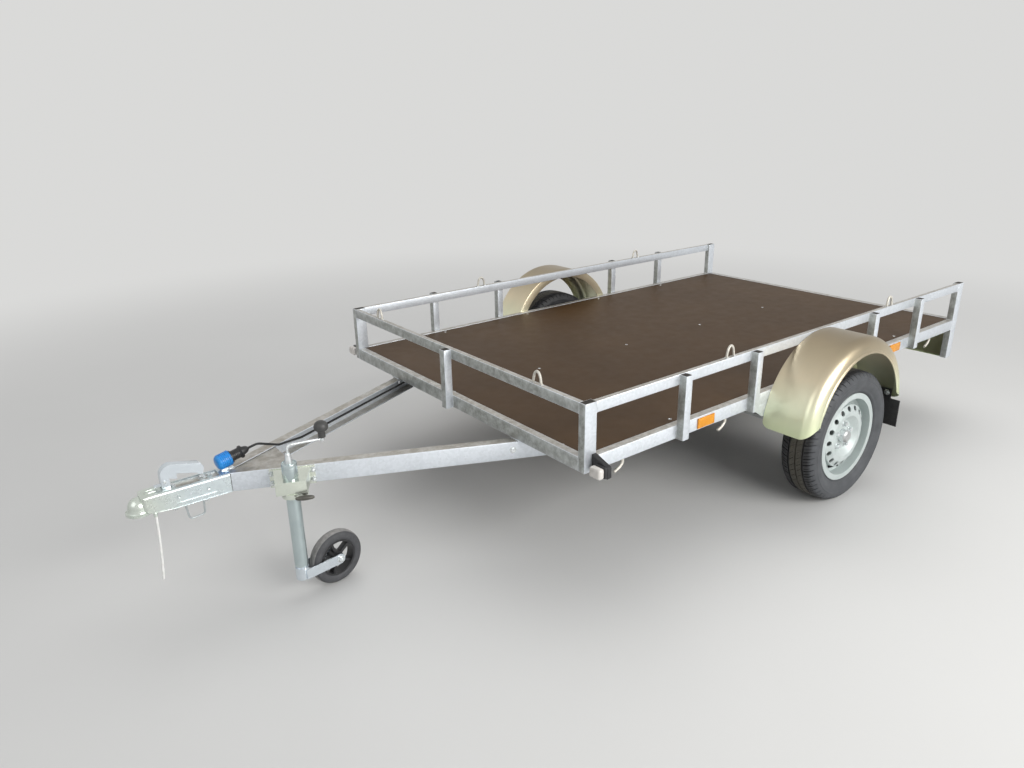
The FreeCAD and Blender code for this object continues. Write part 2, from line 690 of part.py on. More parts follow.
def rim_disc():
    """The dished disc, with a raised crown that its ring of holes goes through."""
    wall = RIM_WALL
    bore = HUB_CAP_RADIUS + DISC_BORE_GAP
    joint = RIM_DROP_RADIUS - wall + DISC_WELD_LAP
    face = DISC_OFFSET
    crown = face + DISC_CROWN_RISE
    edge = face + DISC_EDGE_RISE
    skirt = face - DISC_SKIRT_DEPTH
    front = [(bore, face + wall), (DISC_BOSS_RADIUS, face + wall),
             (DISC_CROWN_INNER_RADIUS, crown + wall), (DISC_CROWN_OUTER_RADIUS, crown + wall),
             (DISC_EDGE_RADIUS, edge + wall), (joint, skirt)]
    back = [(joint, skirt - DISC_SKIRT_LAP), (DISC_EDGE_RADIUS - wall, skirt - DISC_SKIRT_LAP),
            (DISC_EDGE_RADIUS - wall, edge), (DISC_CROWN_OUTER_RADIUS - wall / 2, crown),
            (DISC_CROWN_INNER_RADIUS + wall / 2, crown), (DISC_BOSS_RADIUS + wall / 2, face), (bore, face)]
    return turned(front + back, wheel_centre(), Y_AXIS)


def rim():
    """A barrel and its disc, with the ring of holes cut through."""
    shape = rim_barrel().fuse(rim_disc())
    for step in range(DISC_HOLES):
        angle = 2 * math.pi * step / DISC_HOLES
        outward = V(math.cos(angle), 0, math.sin(angle)) * DISC_HOLE_RING
        place = wheel_centre() + outward + Y_AXIS * DISC_OFFSET
        shape = shape.cut(cylinder(DISC_HOLE_RADIUS, place, Y_AXIS, RIM_WIDTH / 2))
    return shape.removeSplitter()


def hub():
    """A hub drum behind the disc, with its grease cap through the disc's opening."""
    start = DISC_OFFSET - HUB_LENGTH
    end = DISC_OFFSET + HUB_CAP_LENGTH
    cap_edge = end - HUB_CAP_CHAMFER
    profile = [(HUB_BORE, start), (HUB_RADIUS - HUB_TAPER_STEP, start),
               (HUB_RADIUS, start + HUB_TAPER_DEPTH), (HUB_RADIUS, DISC_OFFSET),
               (HUB_CAP_RADIUS, DISC_OFFSET), (HUB_CAP_RADIUS, cap_edge),
               (HUB_CAP_RADIUS - HUB_CAP_CHAMFER, end), (0, end), (0, cap_edge), (HUB_BORE, cap_edge)]
    return turned(profile, wheel_centre(), Y_AXIS)


def axle_tube():
    half = AXLE_TUBE / 2
    end = HALF_WIDTH
    return hollow_bar(AXLE_X - half, AXLE_X + half, -end, end,
                      AXLE_Z - half, AXLE_Z + half, AXLE_TUBE_WALL, "y")


def swing_arm():
    """A forged trailing arm with a boss on the axle tube's end and a stub axle for the hub."""
    inner = HALF_WIDTH
    boss_centre = V(AXLE_X, inner, AXLE_Z)
    wheel = V(AXLE_PLACE, inner + ARM_GAP, WHEEL_HEIGHT)
    boss = cylinder(ARM_WIDTH / 2, boss_centre, Y_AXIS, ARM_GAP + ARM_THICKNESS)
    eye = cylinder(ARM_WIDTH / 2, wheel, Y_AXIS, ARM_THICKNESS)
    along = V(AXLE_X - AXLE_PLACE, 0, AXLE_Z - WHEEL_HEIGHT)
    across = V(-along.z, 0, along.x).normalize() * (ARM_BAR_WIDTH / 2)
    boss_end = V(AXLE_X, inner + ARM_GAP, AXLE_Z)
    bar = prism([wheel - across, wheel + across, boss_end + across, boss_end - across],
                Y_AXIS * ARM_THICKNESS)
    stub_end = TYRE_CENTRE_Y + DISC_OFFSET + STUB_BEYOND_DISC
    stub = cylinder(STUB_RADIUS, wheel, Y_AXIS, stub_end - wheel.y)
    return boss.fuse([eye, bar, stub]).removeSplitter()


def axle_rail():
    """A channel under the side beam that carries the axle, open to the inside, with slanted ends."""
    front = AXLE_X + AXLE_RAIL_FRONT_REACH
    rear = AXLE_X - AXLE_RAIL_REAR_REACH
    y0 = HALF_WIDTH - AXLE_RAIL_WIDTH
    outline = [V(rear, y0, BEAM_BOTTOM), V(rear + AXLE_RAIL_SLANT, y0, AXLE_RAIL_BOTTOM),
               V(front - AXLE_RAIL_SLANT, y0, AXLE_RAIL_BOTTOM), V(front, y0, BEAM_BOTTOM)]
    outer = prism(outline, Y_AXIS * AXLE_RAIL_WIDTH)
    inner = box(rear, front, y0, HALF_WIDTH - TUBE_WALL,
                AXLE_RAIL_BOTTOM + TUBE_WALL, BEAM_BOTTOM - TUBE_WALL)
    return outer.cut(inner)


def axle_bracket():
    """A saddle that joins the axle tube's top to the rail above it."""
    half = AXLE_TUBE / 2
    y0 = HALF_WIDTH - AXLE_RAIL_WIDTH
    foot = box(AXLE_X - BRACKET_LENGTH / 2, AXLE_X + BRACKET_LENGTH / 2, y0, HALF_WIDTH,
               AXLE_RAIL_BOTTOM - BRACKET_FOOT, AXLE_RAIL_BOTTOM)
    web = box(AXLE_X - half, AXLE_X + half, y0 + BRACKET_INSET, HALF_WIDTH - BRACKET_INSET,
              AXLE_Z + half, AXLE_RAIL_BOTTOM - BRACKET_FOOT)
    return foot.fuse(web).removeSplitter()


# Mudguards

def guard_section(y0):
    """The guard's section: flat inner flange, crown, round shoulder and lip, as a thin face."""
    thick = GUARD_THICKNESS
    outer = GUARD_RADIUS
    flat_end = y0 + GUARD_WIDTH - GUARD_SHOULDER
    side = y0 + GUARD_WIDTH
    lip = outer - GUARD_SHOULDER - GUARD_LIP
    turn = math.sqrt(0.5)

    def at(radius, y):
        return V(AXLE_PLACE + radius, y, GUARD_CENTRE_HEIGHT)

    shoulder_centre = (outer - GUARD_SHOULDER, flat_end)

    def shoulder(radius, angle_factor):
        return at(shoulder_centre[0] + radius * angle_factor[0],
                  shoulder_centre[1] + radius * angle_factor[1])

    big = GUARD_SHOULDER
    small = GUARD_SHOULDER - thick
    edges = [
        Part.LineSegment(at(outer - GUARD_FLANGE, y0), at(outer, y0)),
        Part.LineSegment(at(outer, y0), at(outer, flat_end)),
        Part.Arc(at(outer, flat_end), shoulder(big, (turn, turn)), at(outer - GUARD_SHOULDER, side)),
        Part.LineSegment(at(outer - GUARD_SHOULDER, side), at(lip, side)),
        Part.LineSegment(at(lip, side), at(lip, side - thick)),
        Part.LineSegment(at(lip, side - thick), at(outer - GUARD_SHOULDER, side - thick)),
        Part.Arc(at(outer - GUARD_SHOULDER, side - thick), shoulder(small, (turn, turn)),
                 at(outer - thick, flat_end)),
        Part.LineSegment(at(outer - thick, flat_end), at(outer - thick, y0 + thick)),
        Part.LineSegment(at(outer - thick, y0 + thick), at(outer - GUARD_FLANGE, y0 + thick)),
        Part.LineSegment(at(outer - GUARD_FLANGE, y0 + thick), at(outer - GUARD_FLANGE, y0)),
    ]
    return Part.Face(Part.Wire([edge.toShape() for edge in edges]))


def mudguard():
    """A half-round guard bolted by its inner flange to the outside of the beam and rail."""
    y0 = HALF_WIDTH
    centre = V(AXLE_PLACE, y0, GUARD_CENTRE_HEIGHT)
    shell = guard_section(y0).revolve(centre, Y_AXIS, 360)
    reach = 2 * GUARD_RADIUS
    below = box(AXLE_PLACE - reach, AXLE_PLACE + reach, y0 - CUT_MARGIN, y0 + GUARD_WIDTH + CUT_MARGIN,
                GUARD_CENTRE_HEIGHT - reach, GUARD_CUT_HEIGHT)
    shell = shell.cut(below)
    side = y0 + GUARD_WIDTH
    low = GUARD_CUT_HEIGHT - CUT_MARGIN
    corner = [V(AXLE_PLACE - reach, side - GUARD_CORNER, low),
              V(AXLE_PLACE - reach, side + CUT_MARGIN, low),
              V(AXLE_PLACE - reach, side + CUT_MARGIN, GUARD_CUT_HEIGHT + GUARD_CORNER)]
    block = prism(corner, X_AXIS * 2 * reach)
    rounding = cylinder(GUARD_CORNER, V(AXLE_PLACE - reach, side - GUARD_CORNER,
                                        GUARD_CUT_HEIGHT + GUARD_CORNER), X_AXIS, 2 * reach)
    return shell.cut(block.cut(rounding))


def mudflap():
    """A rubber flap with a narrower upper part inside the guard and its full width below the guard."""
    inner_radius = GUARD_RADIUS - GUARD_THICKNESS
    rise = GUARD_CUT_HEIGHT + FLAP_OVERLAP - GUARD_CENTRE_HEIGHT
    back = AXLE_PLACE - math.sqrt(inner_radius ** 2 - rise ** 2) + SEAT_GAP
    front = back + FLAP_THICKNESS
    outer = HALF_WIDTH + GUARD_WIDTH - FLAP_SIDE_GAP
    crown_end = HALF_WIDTH + GUARD_WIDTH - GUARD_SHOULDER
    top = GUARD_CUT_HEIGHT + FLAP_OVERLAP
    inner = outer - FLAP_WIDTH
    bottom = top - FLAP_LENGTH
    panel = box(back, front, inner, outer, bottom, GUARD_CUT_HEIGHT - FLAP_BELOW_GUARD)
    tab = box(back, front, inner, crown_end, bottom, top)
    return panel.fuse(tab).removeSplitter()


# Drawbar

def member_outer_y(x):
    return MEMBER_SPREAD_AT_FRAME - MEMBER_SLOPE * (x - HALF_LENGTH)


def drawbar_member():
    """A channel that runs from the head back under the deck to its first cross member, open inward."""
    direction = V(-math.cos(MEMBER_ANGLE), math.sin(MEMBER_ANGLE), 0)
    inward = V(-math.sin(MEMBER_ANGLE), -math.cos(MEMBER_ANGLE), 0)
    start = V(HEAD_PLACE, HEAD_HALF_WIDTH, MEMBER_BOTTOM) - direction * MEMBER_HEIGHT
    up = Z_AXIS
    wall = MEMBER_WALL
    flange = MEMBER_FLANGE
    tall = MEMBER_HEIGHT
    section = [(0, 0), (flange, 0), (flange, wall), (wall, wall),
               (wall, tall - wall), (flange, tall - wall), (flange, tall), (0, tall)]
    points = [start + inward * across + up * height for across, height in section]
    length = (HALF_WIDTH / math.sin(MEMBER_ANGLE)) + 2 * MEMBER_HEIGHT
    bar = prism(points, direction * length)
    kept = box(MEMBER_REAR_END, HEAD_PLACE, 0, INNER_HALF_WIDTH,
               MEMBER_BOTTOM - CUT_MARGIN, MEMBER_TOP + CUT_MARGIN)
    return bar.common(kept)


def drawbar_head_plates():
    """Two plates inside the flanges at the head, running on as the coupling's tongue."""
    slant = MEMBER_WALL / math.cos(MEMBER_ANGLE)
    rear_half = member_outer_y(HEAD_PLATE_REAR) - slant
    front_half = HEAD_HALF_WIDTH - slant
    tongue_half = HEAD_HALF_WIDTH - COUPLING_EDGE_RADIUS
    heights = (MEMBER_TOP - MEMBER_WALL - HEAD_PLATE_THICKNESS, MEMBER_BOTTOM + MEMBER_WALL)
    plates = []
    for z in heights:
        outline = [V(HEAD_PLATE_REAR, -rear_half, z), V(HEAD_PLACE, -front_half, z),
                   V(HEAD_PLACE, -tongue_half, z), V(TONGUE_FRONT, -tongue_half, z),
                   V(TONGUE_FRONT, tongue_half, z), V(HEAD_PLACE, tongue_half, z),
                   V(HEAD_PLACE, front_half, z), V(HEAD_PLATE_REAR, rear_half, z)]
        plates.append(prism(outline, Z_AXIS * HEAD_PLATE_THICKNESS))
    return plates


def drawbar_pads():
    """Spacer plates that carry the frame on the members where they cross under it."""
    pads = []
    half = CROSS_MEMBER_WIDTH / 2
    crossings = [(HALF_LENGTH - BEAM_WIDTH, HALF_LENGTH)]
    crossings += [(x - half, x + half) for x in CROSS_MEMBER_PLACES if x - half > MEMBER_REAR_END]
    for x0, x1 in crossings:
        middle = (x0 + x1) / 2
        outer = member_outer_y(middle)
        pad = box(x0, x1, outer - MEMBER_FLANGE, outer, MEMBER_TOP, BEAM_BOTTOM)
        pads += both_sides(pad)
    return pads


# Coupling

def coupling_bottom(x):
    """Height of the housing's lower edge: level behind, rising towards the nose."""
    if x <= COUPLING_RISE_PLACE:
        return MEMBER_BOTTOM
    share = (x - COUPLING_RISE_PLACE) / (COUPLING_NOSE_PLACE - COUPLING_RISE_PLACE)
    return MEMBER_BOTTOM + COUPLING_NOSE_LIFT * share


def coupling_section(inset, x):
    """The housing's section at one place: an upright channel with rounded top edges."""
    half = HEAD_HALF_WIDTH - inset
    top = MEMBER_TOP - inset
    low = MEMBER_BOTTOM - CUT_MARGIN
    radius = COUPLING_EDGE_RADIUS - inset
    turn = radius * (1 - math.sqrt(0.5))
    left = [V(x, half, low), V(x, half, top - radius), V(x, half - turn, top - turn),
            V(x, half - radius, top)]
    right = [V(p.x, -p.y, p.z) for p in left]
    edges = [Part.LineSegment(left[0], left[1]), Part.Arc(left[1], left[2], left[3]),
             Part.LineSegment(left[3], right[3]), Part.Arc(right[3], right[2], right[1]),
             Part.LineSegment(right[1], right[0]), Part.LineSegment(right[0], left[0])]
    return Part.Face(Part.Wire([edge.toShape() for edge in edges]))


def coupling_plan():
    """The housing's outline from above, a strip with round front corners, as a tall block."""
    half = HEAD_HALF_WIDTH
    radius = COUPLING_STEP_RADIUS
    end = COUPLING_NOSE_PLACE - COUPLING_STEP_BACK
    low = MEMBER_BOTTOM - CUT_MARGIN
    high = MEMBER_TOP + CUT_MARGIN
    strips = [box(HEAD_PLACE, end - radius, -half, half, low, high),
              box(HEAD_PLACE, end, radius - half, half - radius, low, high)]
    corners = [cylinder(radius, V(end - radius, y, low), Z_AXIS, high - low)
               for y in (radius - half, half - radius)]
    return strips[0].fuse(strips[1:] + corners)


def coupling_housing():
    """The pressed channel over the tongue, sloped down to the nose and cut to its lower edge."""
    nose = COUPLING_NOSE_PLACE
    shoulder = nose - COUPLING_SHOULDER_LENGTH
    outer = coupling_section(0, HEAD_PLACE).extrude(X_AXIS * COUPLING_LENGTH)
    inner = coupling_section(COUPLING_WALL, HEAD_PLACE).extrude(
        X_AXIS * (COUPLING_LENGTH - BALL_SOCKET_RADIUS - CUP_REAR_WALL))
    half = 2 * HEAD_HALF_WIDTH
    side = [V(HEAD_PLACE, -half, MEMBER_BOTTOM), V(COUPLING_RISE_PLACE, -half, MEMBER_BOTTOM),
            V(nose, -half, COUPLING_NOSE_BOTTOM), V(nose, -half, COUPLING_NOSE_TOP),
            V(shoulder, -half, MEMBER_TOP), V(HEAD_PLACE, -half, MEMBER_TOP)]
    return outer.cut(inner).common(prism(side, Y_AXIS * 2 * half)).common(coupling_plan())


def coupling_roof_openings():
    """The long recess that shows the tongue, and the slot that the lever's foot goes through."""
    low = LEVER_FOOT_HEIGHT
    high = MEMBER_TOP + CUT_MARGIN
    recess_half = HEAD_HALF_WIDTH - RECESS_RIM
    slot_half = LEVER_WIDTH / 2 + LEVER_SLOT_CLEARANCE
    recess = box(HEAD_PLACE + RECESS_START, LEVER_FOOT_REAR - RECESS_END_GAP,
                 -recess_half, recess_half, low, high)
    slot = box(LEVER_FOOT_REAR - LEVER_SLOT_CLEARANCE, LEVER_FOOT_FRONT + LEVER_SLOT_CLEARANCE,
               -slot_half, slot_half, low, high)
    return recess.fuse(slot)


def coupling_body():
    """A pressed housing that ends in a round cup with a lip, bored for a tow ball."""
    centre = V(COUPLING_NOSE_PLACE, 0, COUPLING_NOSE_BOTTOM)
    radius = COUPLING_CUP_RADIUS
    dome_centre = V(centre.x, 0, COUPLING_NOSE_TOP - radius)
    dome = Part.makeSphere(radius, dome_centre)
    dome = dome.cut(box(centre.x - radius, centre.x + radius, -radius, radius,
                        dome_centre.z - radius, dome_centre.z))
    cup = cylinder(radius, centre, Z_AXIS, dome_centre.z - centre.z)
    lip = cylinder(COUPLING_LIP_RADIUS, centre - Z_AXIS * COUPLING_LIP_HEIGHT / 2, Z_AXIS,
                   COUPLING_LIP_HEIGHT)
    ball = Part.makeSphere(BALL_SOCKET_RADIUS, V(centre.x, 0, BALL_CENTRE_HEIGHT))
    mouth = cylinder(BALL_SOCKET_RADIUS, centre - Z_AXIS * COUPLING_LIP_RADIUS, Z_AXIS,
                     COUPLING_LIP_RADIUS + BALL_CENTRE_LIFT)
    body = coupling_housing().fuse([dome, cup, lip]).cut(ball.fuse(mouth))
    return body.cut(coupling_roof_openings()).removeSplitter()


def lever_profile():
    """The lever's side outline: a straight foot, a round front bend and a grip that slopes back."""
    front = LEVER_FOOT_FRONT
    turn = math.sqrt(0.5)
    bend_centre = V(front - LEVER_BEND, 0, LEVER_TOP - LEVER_BEND)
    bend_front = V(front, 0, bend_centre.z)
    bend_middle = bend_centre + V(turn, 0, turn) * LEVER_BEND
    bend_top = V(bend_centre.x, 0, LEVER_TOP)
    grip_under = LEVER_TOP - LEVER_GRIP_DEPTH
    end_corners = [V(LEVER_END + ahead, 0, LEVER_END_TOP - depth) for ahead, depth in LEVER_END_CORNERS]
    throat = [V(LEVER_FOOT_REAR - behind, 0, grip_under - depth) for behind, depth in LEVER_THROAT_CORNERS]
    foot = [V(LEVER_FOOT_REAR, 0, LEVER_FOOT_HEIGHT), V(front, 0, LEVER_FOOT_HEIGHT)]
    corners = [bend_top] + end_corners + throat + foot + [bend_front]
    edges = [Part.LineSegment(start, end).toShape() for start, end in zip(corners, corners[1:])]
    edges.append(Part.Arc(bend_front, bend_middle, bend_top).toShape())
    return Part.Face(Part.Wire(edges))


def coupling_lever():
    """The locking lever: a channel of sheet, open below and at the back, with a latch plate in front."""
    outer = lever_profile().extrude(Y_AXIS * LEVER_WIDTH)
    outer.translate(V(0, -LEVER_WIDTH / 2, 0))
    inner = lever_profile().extrude(Y_AXIS * (LEVER_WIDTH - 2 * LEVER_WALL))
    inner.translate(V(-LEVER_WALL, -LEVER_WIDTH / 2 + LEVER_WALL, -LEVER_WALL))
    latch = box(LEVER_FOOT_FRONT - LEVER_WALL, LEVER_FOOT_FRONT + LATCH_REACH,
                -LATCH_WIDTH / 2, LATCH_WIDTH / 2,
                MEMBER_TOP + LATCH_LIFT, MEMBER_TOP + LATCH_LIFT + LEVER_WALL)
    return outer.cut(inner).fuse(latch).removeSplitter()


def coupling_bail():
    """A wire loop under the coupling's left side."""
    y = HEAD_HALF_WIDTH - COUPLING_WALL / 2
    root = coupling_bottom(BAIL_FRONT) + BAIL_WIRE / 2
    bottom = coupling_bottom(BAIL_FRONT) - BAIL_DROP
    points = [V(BAIL_FRONT, y, root), V(BAIL_FRONT - BAIL_FRONT_LEAN, y, bottom),
              V(BAIL_REAR + BAIL_REAR_LEAN, y, bottom + BAIL_REAR_RISE), V(BAIL_REAR, y, root)]
    loop = rod(points, BAIL_WIRE, BAIL_BEND)
    return loop.cut(coupling_body())


# Plug holder and lamp lead

def holder_direction():
    """The holder's closed end points forward; its plug end points back, a little raised and turned right."""
    raised = math.radians(HOLDER_TILT)
    turn = math.radians(HOLDER_TURN)
    back = V(-math.cos(turn), -math.sin(turn), 0)
    return (back * math.cos(raised) + Z_AXIS * math.sin(raised)).normalize()


def plug_holder():
    back = holder_direction()
    start = HOLDER_PLACE - back * (HOLDER_LENGTH / 2)
    cup = cylinder(HOLDER_RADIUS, start, back, HOLDER_LENGTH)
    bore = cylinder(HOLDER_RADIUS - HOLDER_WALL, start + back * HOLDER_WALL, back, HOLDER_LENGTH)
    return cup.cut(bore)


def plug_bracket():
    """A bent strip from the head's top up to the holder's underside."""
    half = HOLDER_STRIP_WIDTH / 2
    x, y, z = HOLDER_PLACE
    foot = box(x - 3 * half, x + half, y - half, y + half, MEMBER_TOP, MEMBER_TOP + HOLDER_STRIP_THICKNESS)
    stem = box(x - half, x + half, y - half, y + half, MEMBER_TOP, z - HOLDER_RADIUS / 2)
    back = holder_direction()
    room = cylinder(HOLDER_RADIUS + SEAT_GAP, HOLDER_PLACE - back * HOLDER_LENGTH, back, 2 * HOLDER_LENGTH)
    return foot.fuse(stem).cut(room).removeSplitter()


def plug_start():
    return HOLDER_PLACE - holder_direction() * (HOLDER_LENGTH / 2 - HOLDER_WALL)


def plug():
    """The plug: a body that fills the holder, a collar and a grip behind it."""
    back = holder_direction()
    seated = HOLDER_LENGTH - HOLDER_WALL + PLUG_COLLAR
    body = cylinder(HOLDER_RADIUS - HOLDER_WALL, plug_start(), back, seated)
    grip = cylinder(PLUG_RADIUS, plug_start() + back * seated, back, PLUG_LENGTH)
    return body.fuse(grip).removeSplitter()


def lamp_lead():
    """The lamp lead: from the plug down into the right member, along it and under the deck."""
    back = holder_direction()
    leaves = plug_start() + back * (HOLDER_LENGTH - HOLDER_WALL + PLUG_COLLAR + PLUG_LENGTH)
    channel_offset = (MEMBER_FLANGE / 2) / math.cos(MEMBER_ANGLE)
    low = (MEMBER_TOP + MEMBER_BOTTOM) / 2

    def in_channel(x):
        return V(x, channel_offset - member_outer_y(x), low)

    over_plate = V(HEAD_PLATE_REAR, leaves.y - LEAD_SWING, MEMBER_TOP + LEAD_OVER_PLATE)
    under_deck = BEAM_BOTTOM - 3 * LEAD_RADIUS
    panel_front = REAR_PANEL_BACK + REAR_PANEL_THICKNESS
    at_panel = (BEAM_BOTTOM + REAR_POST_BOTTOM) / 2
    side = LEAD_INSET - INNER_HALF_WIDTH
    points = [leaves, leaves + back * LEAD_STRAIGHT, over_plate,
              in_channel(HEAD_PLATE_REAR - LEAD_ENTRY_RUN),
              in_channel(MEMBER_REAR_END - LEAD_EXIT_RUN),
              V(MEMBER_REAR_END - LEAD_LEVEL_RUN, side, low),
              V(MEMBER_REAR_END - LEAD_RISE_RUN, side, under_deck),
              V(panel_front + LEAD_DROP_RUN, side, under_deck),
              V(panel_front + LEAD_PANEL_RUN, side, at_panel),
              V(panel_front, side, at_panel)]
    return rod(points, 2 * LEAD_RADIUS, LEAD_BEND)


# Jockey stand

def member_normal():
    return V(math.sin(MEMBER_ANGLE), math.cos(MEMBER_ANGLE), 0)


def member_direction():
    return V(-math.cos(MEMBER_ANGLE), math.sin(MEMBER_ANGLE), 0)


def tapered(foot, front, foot_half, front_half, height):
    """A block whose plan narrows from one middle point to another, both along the left member."""
    along = member_direction()
    return prism([foot - along * foot_half, foot + along * foot_half,
                  front + along * front_half, front - along * front_half], Z_AXIS * height)


def jockey_clamp():
    """A pressed bracket bolted to the left member, with a round saddle below it, both around the tube."""
    out = member_normal()
    along = member_direction()
    tube = V(JOCKEY_X, JOCKEY_Y, 0)
    face = tube - out * JOCKEY_REACH
    front = tube + out * (JOCKEY_TUBE_RADIUS + CLAMP_WALL)
    lift = Z_AXIS * CLAMP_BOTTOM
    low = Z_AXIS * SADDLE_BOTTOM
    half = CLAMP_LENGTH / 2
    base = tapered(face + Z_AXIS * MEMBER_BOTTOM, face + out * CLAMP_WALL + Z_AXIS * MEMBER_BOTTOM,
                   half, half, MEMBER_HEIGHT)
    shell = tapered(face + lift, front + lift, CLAMP_ROOT, CLAMP_FRONT, CLAMP_HEIGHT)
    hollow = tapered(face + out * CLAMP_WALL + lift, tube - out * (JOCKEY_TUBE_RADIUS + CLAMP_WALL) + lift,
                     CLAMP_ROOT - 2 * CLAMP_WALL, CLAMP_FRONT - CLAMP_WALL, CLAMP_HEIGHT - CLAMP_WALL)
    saddle_height = CLAMP_BOTTOM - SADDLE_BOTTOM
    saddle = cylinder(SADDLE_RADIUS, tube + low, Z_AXIS, saddle_height)
    neck = tapered(face + low, tube + low, SADDLE_RADIUS, SADDLE_RADIUS, saddle_height)
    lug_middle = tube + along * (LUG_REACH / 2) + low
    lug = tapered(lug_middle - out * LUG_HALF_WIDTH, lug_middle + out * LUG_HALF_WIDTH,
                  LUG_REACH / 2, LUG_REACH / 2, saddle_height)
    bore = cylinder(JOCKEY_TUBE_RADIUS + INNER_TUBE_CLEARANCE, tube + low, Z_AXIS, MEMBER_HEIGHT)
    shell = shell.cut(hollow)
    return base.fuse([shell, saddle, neck, lug]).cut(bore).removeSplitter()


def clamp_handle():
    """The clamp's screw in its lug beside the tube, and its turning bar."""
    out = member_normal()
    along = member_direction()
    tube = V(JOCKEY_X, JOCKEY_Y, (SADDLE_BOTTOM + CLAMP_BOTTOM) / 2)
    start = tube + along * HANDLE_SIDE + out * LUG_HALF_WIDTH
    reach = HANDLE_REACH - LUG_HALF_WIDTH
    screw = cylinder(HANDLE_SCREW_RADIUS, start, out, reach)
    bar_start = start + out * reach - along * (HANDLE_BAR_LENGTH / 2)
    bar = cylinder(HANDLE_BAR_RADIUS, bar_start, along, HANDLE_BAR_LENGTH)
    return screw.fuse(bar).removeSplitter()


def jockey_outer_tube():
    start = V(JOCKEY_X, JOCKEY_Y, JOCKEY_TUBE_BOTTOM)
    bore = JOCKEY_TUBE_RADIUS - JOCKEY_TUBE_WALL
    length = JOCKEY_TUBE_TOP - JOCKEY_TUBE_BOTTOM
    tube = cylinder(JOCKEY_TUBE_RADIUS, start, Z_AXIS, length)
    collar_start = V(JOCKEY_X, JOCKEY_Y, CLAMP_BOTTOM + CLAMP_HEIGHT + MOVING_GAP)
    collar = cylinder(COLLAR_RADIUS, collar_start, Z_AXIS, JOCKEY_TUBE_TOP - collar_start.z)
    return tube.fuse(collar).cut(cylinder(bore, start, Z_AXIS, length - JOCKEY_CAP)).removeSplitter()


def jockey_crank():
    """The spindle head on the tube's cap and the crank arm bent over to its grip."""
    foot = V(JOCKEY_X, JOCKEY_Y, JOCKEY_TUBE_TOP)
    head = cylinder(SPINDLE_RADIUS, foot, Z_AXIS, SPINDLE_HEIGHT)
    grip = crank_grip_place()
    points = [foot, V(JOCKEY_X, JOCKEY_Y, CRANK_HEIGHT), grip]
    return head.fuse(rod(points, CRANK_ROD, 2 * CRANK_ROD)).removeSplitter()


def crank_grip_place():
    """Where the crank arm ends, turned a little outward from the trailer's length."""
    turn = math.radians(CRANK_TURN)
    return V(JOCKEY_X - CRANK_REACH * math.cos(turn), JOCKEY_Y + CRANK_REACH * math.sin(turn), CRANK_HEIGHT)


def crank_knob():
    base = crank_grip_place() + Z_AXIS * CRANK_ROD / 2
    neck = cylinder(KNOB_NECK_RADIUS, base, Z_AXIS, KNOB_HEIGHT - KNOB_RADIUS)
    ball = Part.makeSphere(KNOB_RADIUS, base + Z_AXIS * (KNOB_HEIGHT - KNOB_RADIUS))
    return neck.fuse(ball).removeSplitter()


def jockey_inner_tube():
    bottom = FORK_BOSS_TOP + TURNING_CLEARANCE
    return ring(INNER_TUBE_RADIUS, INNER_TUBE_RADIUS - INNER_TUBE_WALL,
                V(JOCKEY_X, JOCKEY_Y, bottom), Z_AXIS, INNER_TUBE_TOP - bottom)


def swivelled(shape):
    """Turned about the jockey tube's axis, the way the jockey wheel stands."""
    stood = shape.copy()
    stood.rotate(V(JOCKEY_X, JOCKEY_Y, 0), Z_AXIS, JOCKEY_TURN)
    return stood


def jockey_fork():
    """Two cheek plates from a head under the tube back to the wheel's axle."""
    z = JOCKEY_WHEEL_RADIUS
    half = JOCKEY_WHEEL_WIDTH / 2 + FORK_GAP
    low, high = z - FORK_HEIGHT / 2, z + FORK_HEIGHT / 2
    x, y = JOCKEY_X, JOCKEY_Y
    plates = []
    for y0 in (y + half, y - half - FORK_PLATE):
        bar = box(JOCKEY_WHEEL_X, x, y0, y0 + FORK_PLATE, low, high)
        end = cylinder(FORK_HEIGHT / 2, V(JOCKEY_WHEEL_X, y0, z), Y_AXIS, FORK_PLATE)
        plates.append(bar.fuse(end))
    head = box(x - FORK_HEAD_LENGTH, x, y - half - FORK_PLATE, y + half + FORK_PLATE, low, high)
    boss = cylinder(JOCKEY_TUBE_RADIUS, V(x, y, FORK_BOSS_BOTTOM), Z_AXIS,
                    FORK_BOSS_TOP - FORK_BOSS_BOTTOM)
    spigot = cylinder(INNER_TUBE_RADIUS - INNER_TUBE_WALL - TURNING_CLEARANCE,
                      V(x, y, FORK_BOSS_TOP), Z_AXIS, SPIGOT_LENGTH)
    pin = cylinder(JOCKEY_PIN, V(JOCKEY_WHEEL_X, y - half, z), Y_AXIS, 2 * half)
    return swivelled(boss.fuse(plates + [head, spigot, pin]).removeSplitter())


def jockey_wheel_centre():
    return V(JOCKEY_WHEEL_X, JOCKEY_Y, JOCKEY_WHEEL_RADIUS)


def jockey_tyre():
    """A solid tyre with a rounded tread."""
    half = JOCKEY_WHEEL_WIDTH / 2
    taper = JOCKEY_TYRE_TAPER
    radius = JOCKEY_WHEEL_RADIUS
    side = [(JOCKEY_RIM_RADIUS, half - taper), (radius - 4 * taper, half), (radius - taper, half - 2 * taper)]
    outline = side + [(radius, 0)] + other_half(side)
    return swivelled(turned(outline, jockey_wheel_centre(), Y_AXIS))


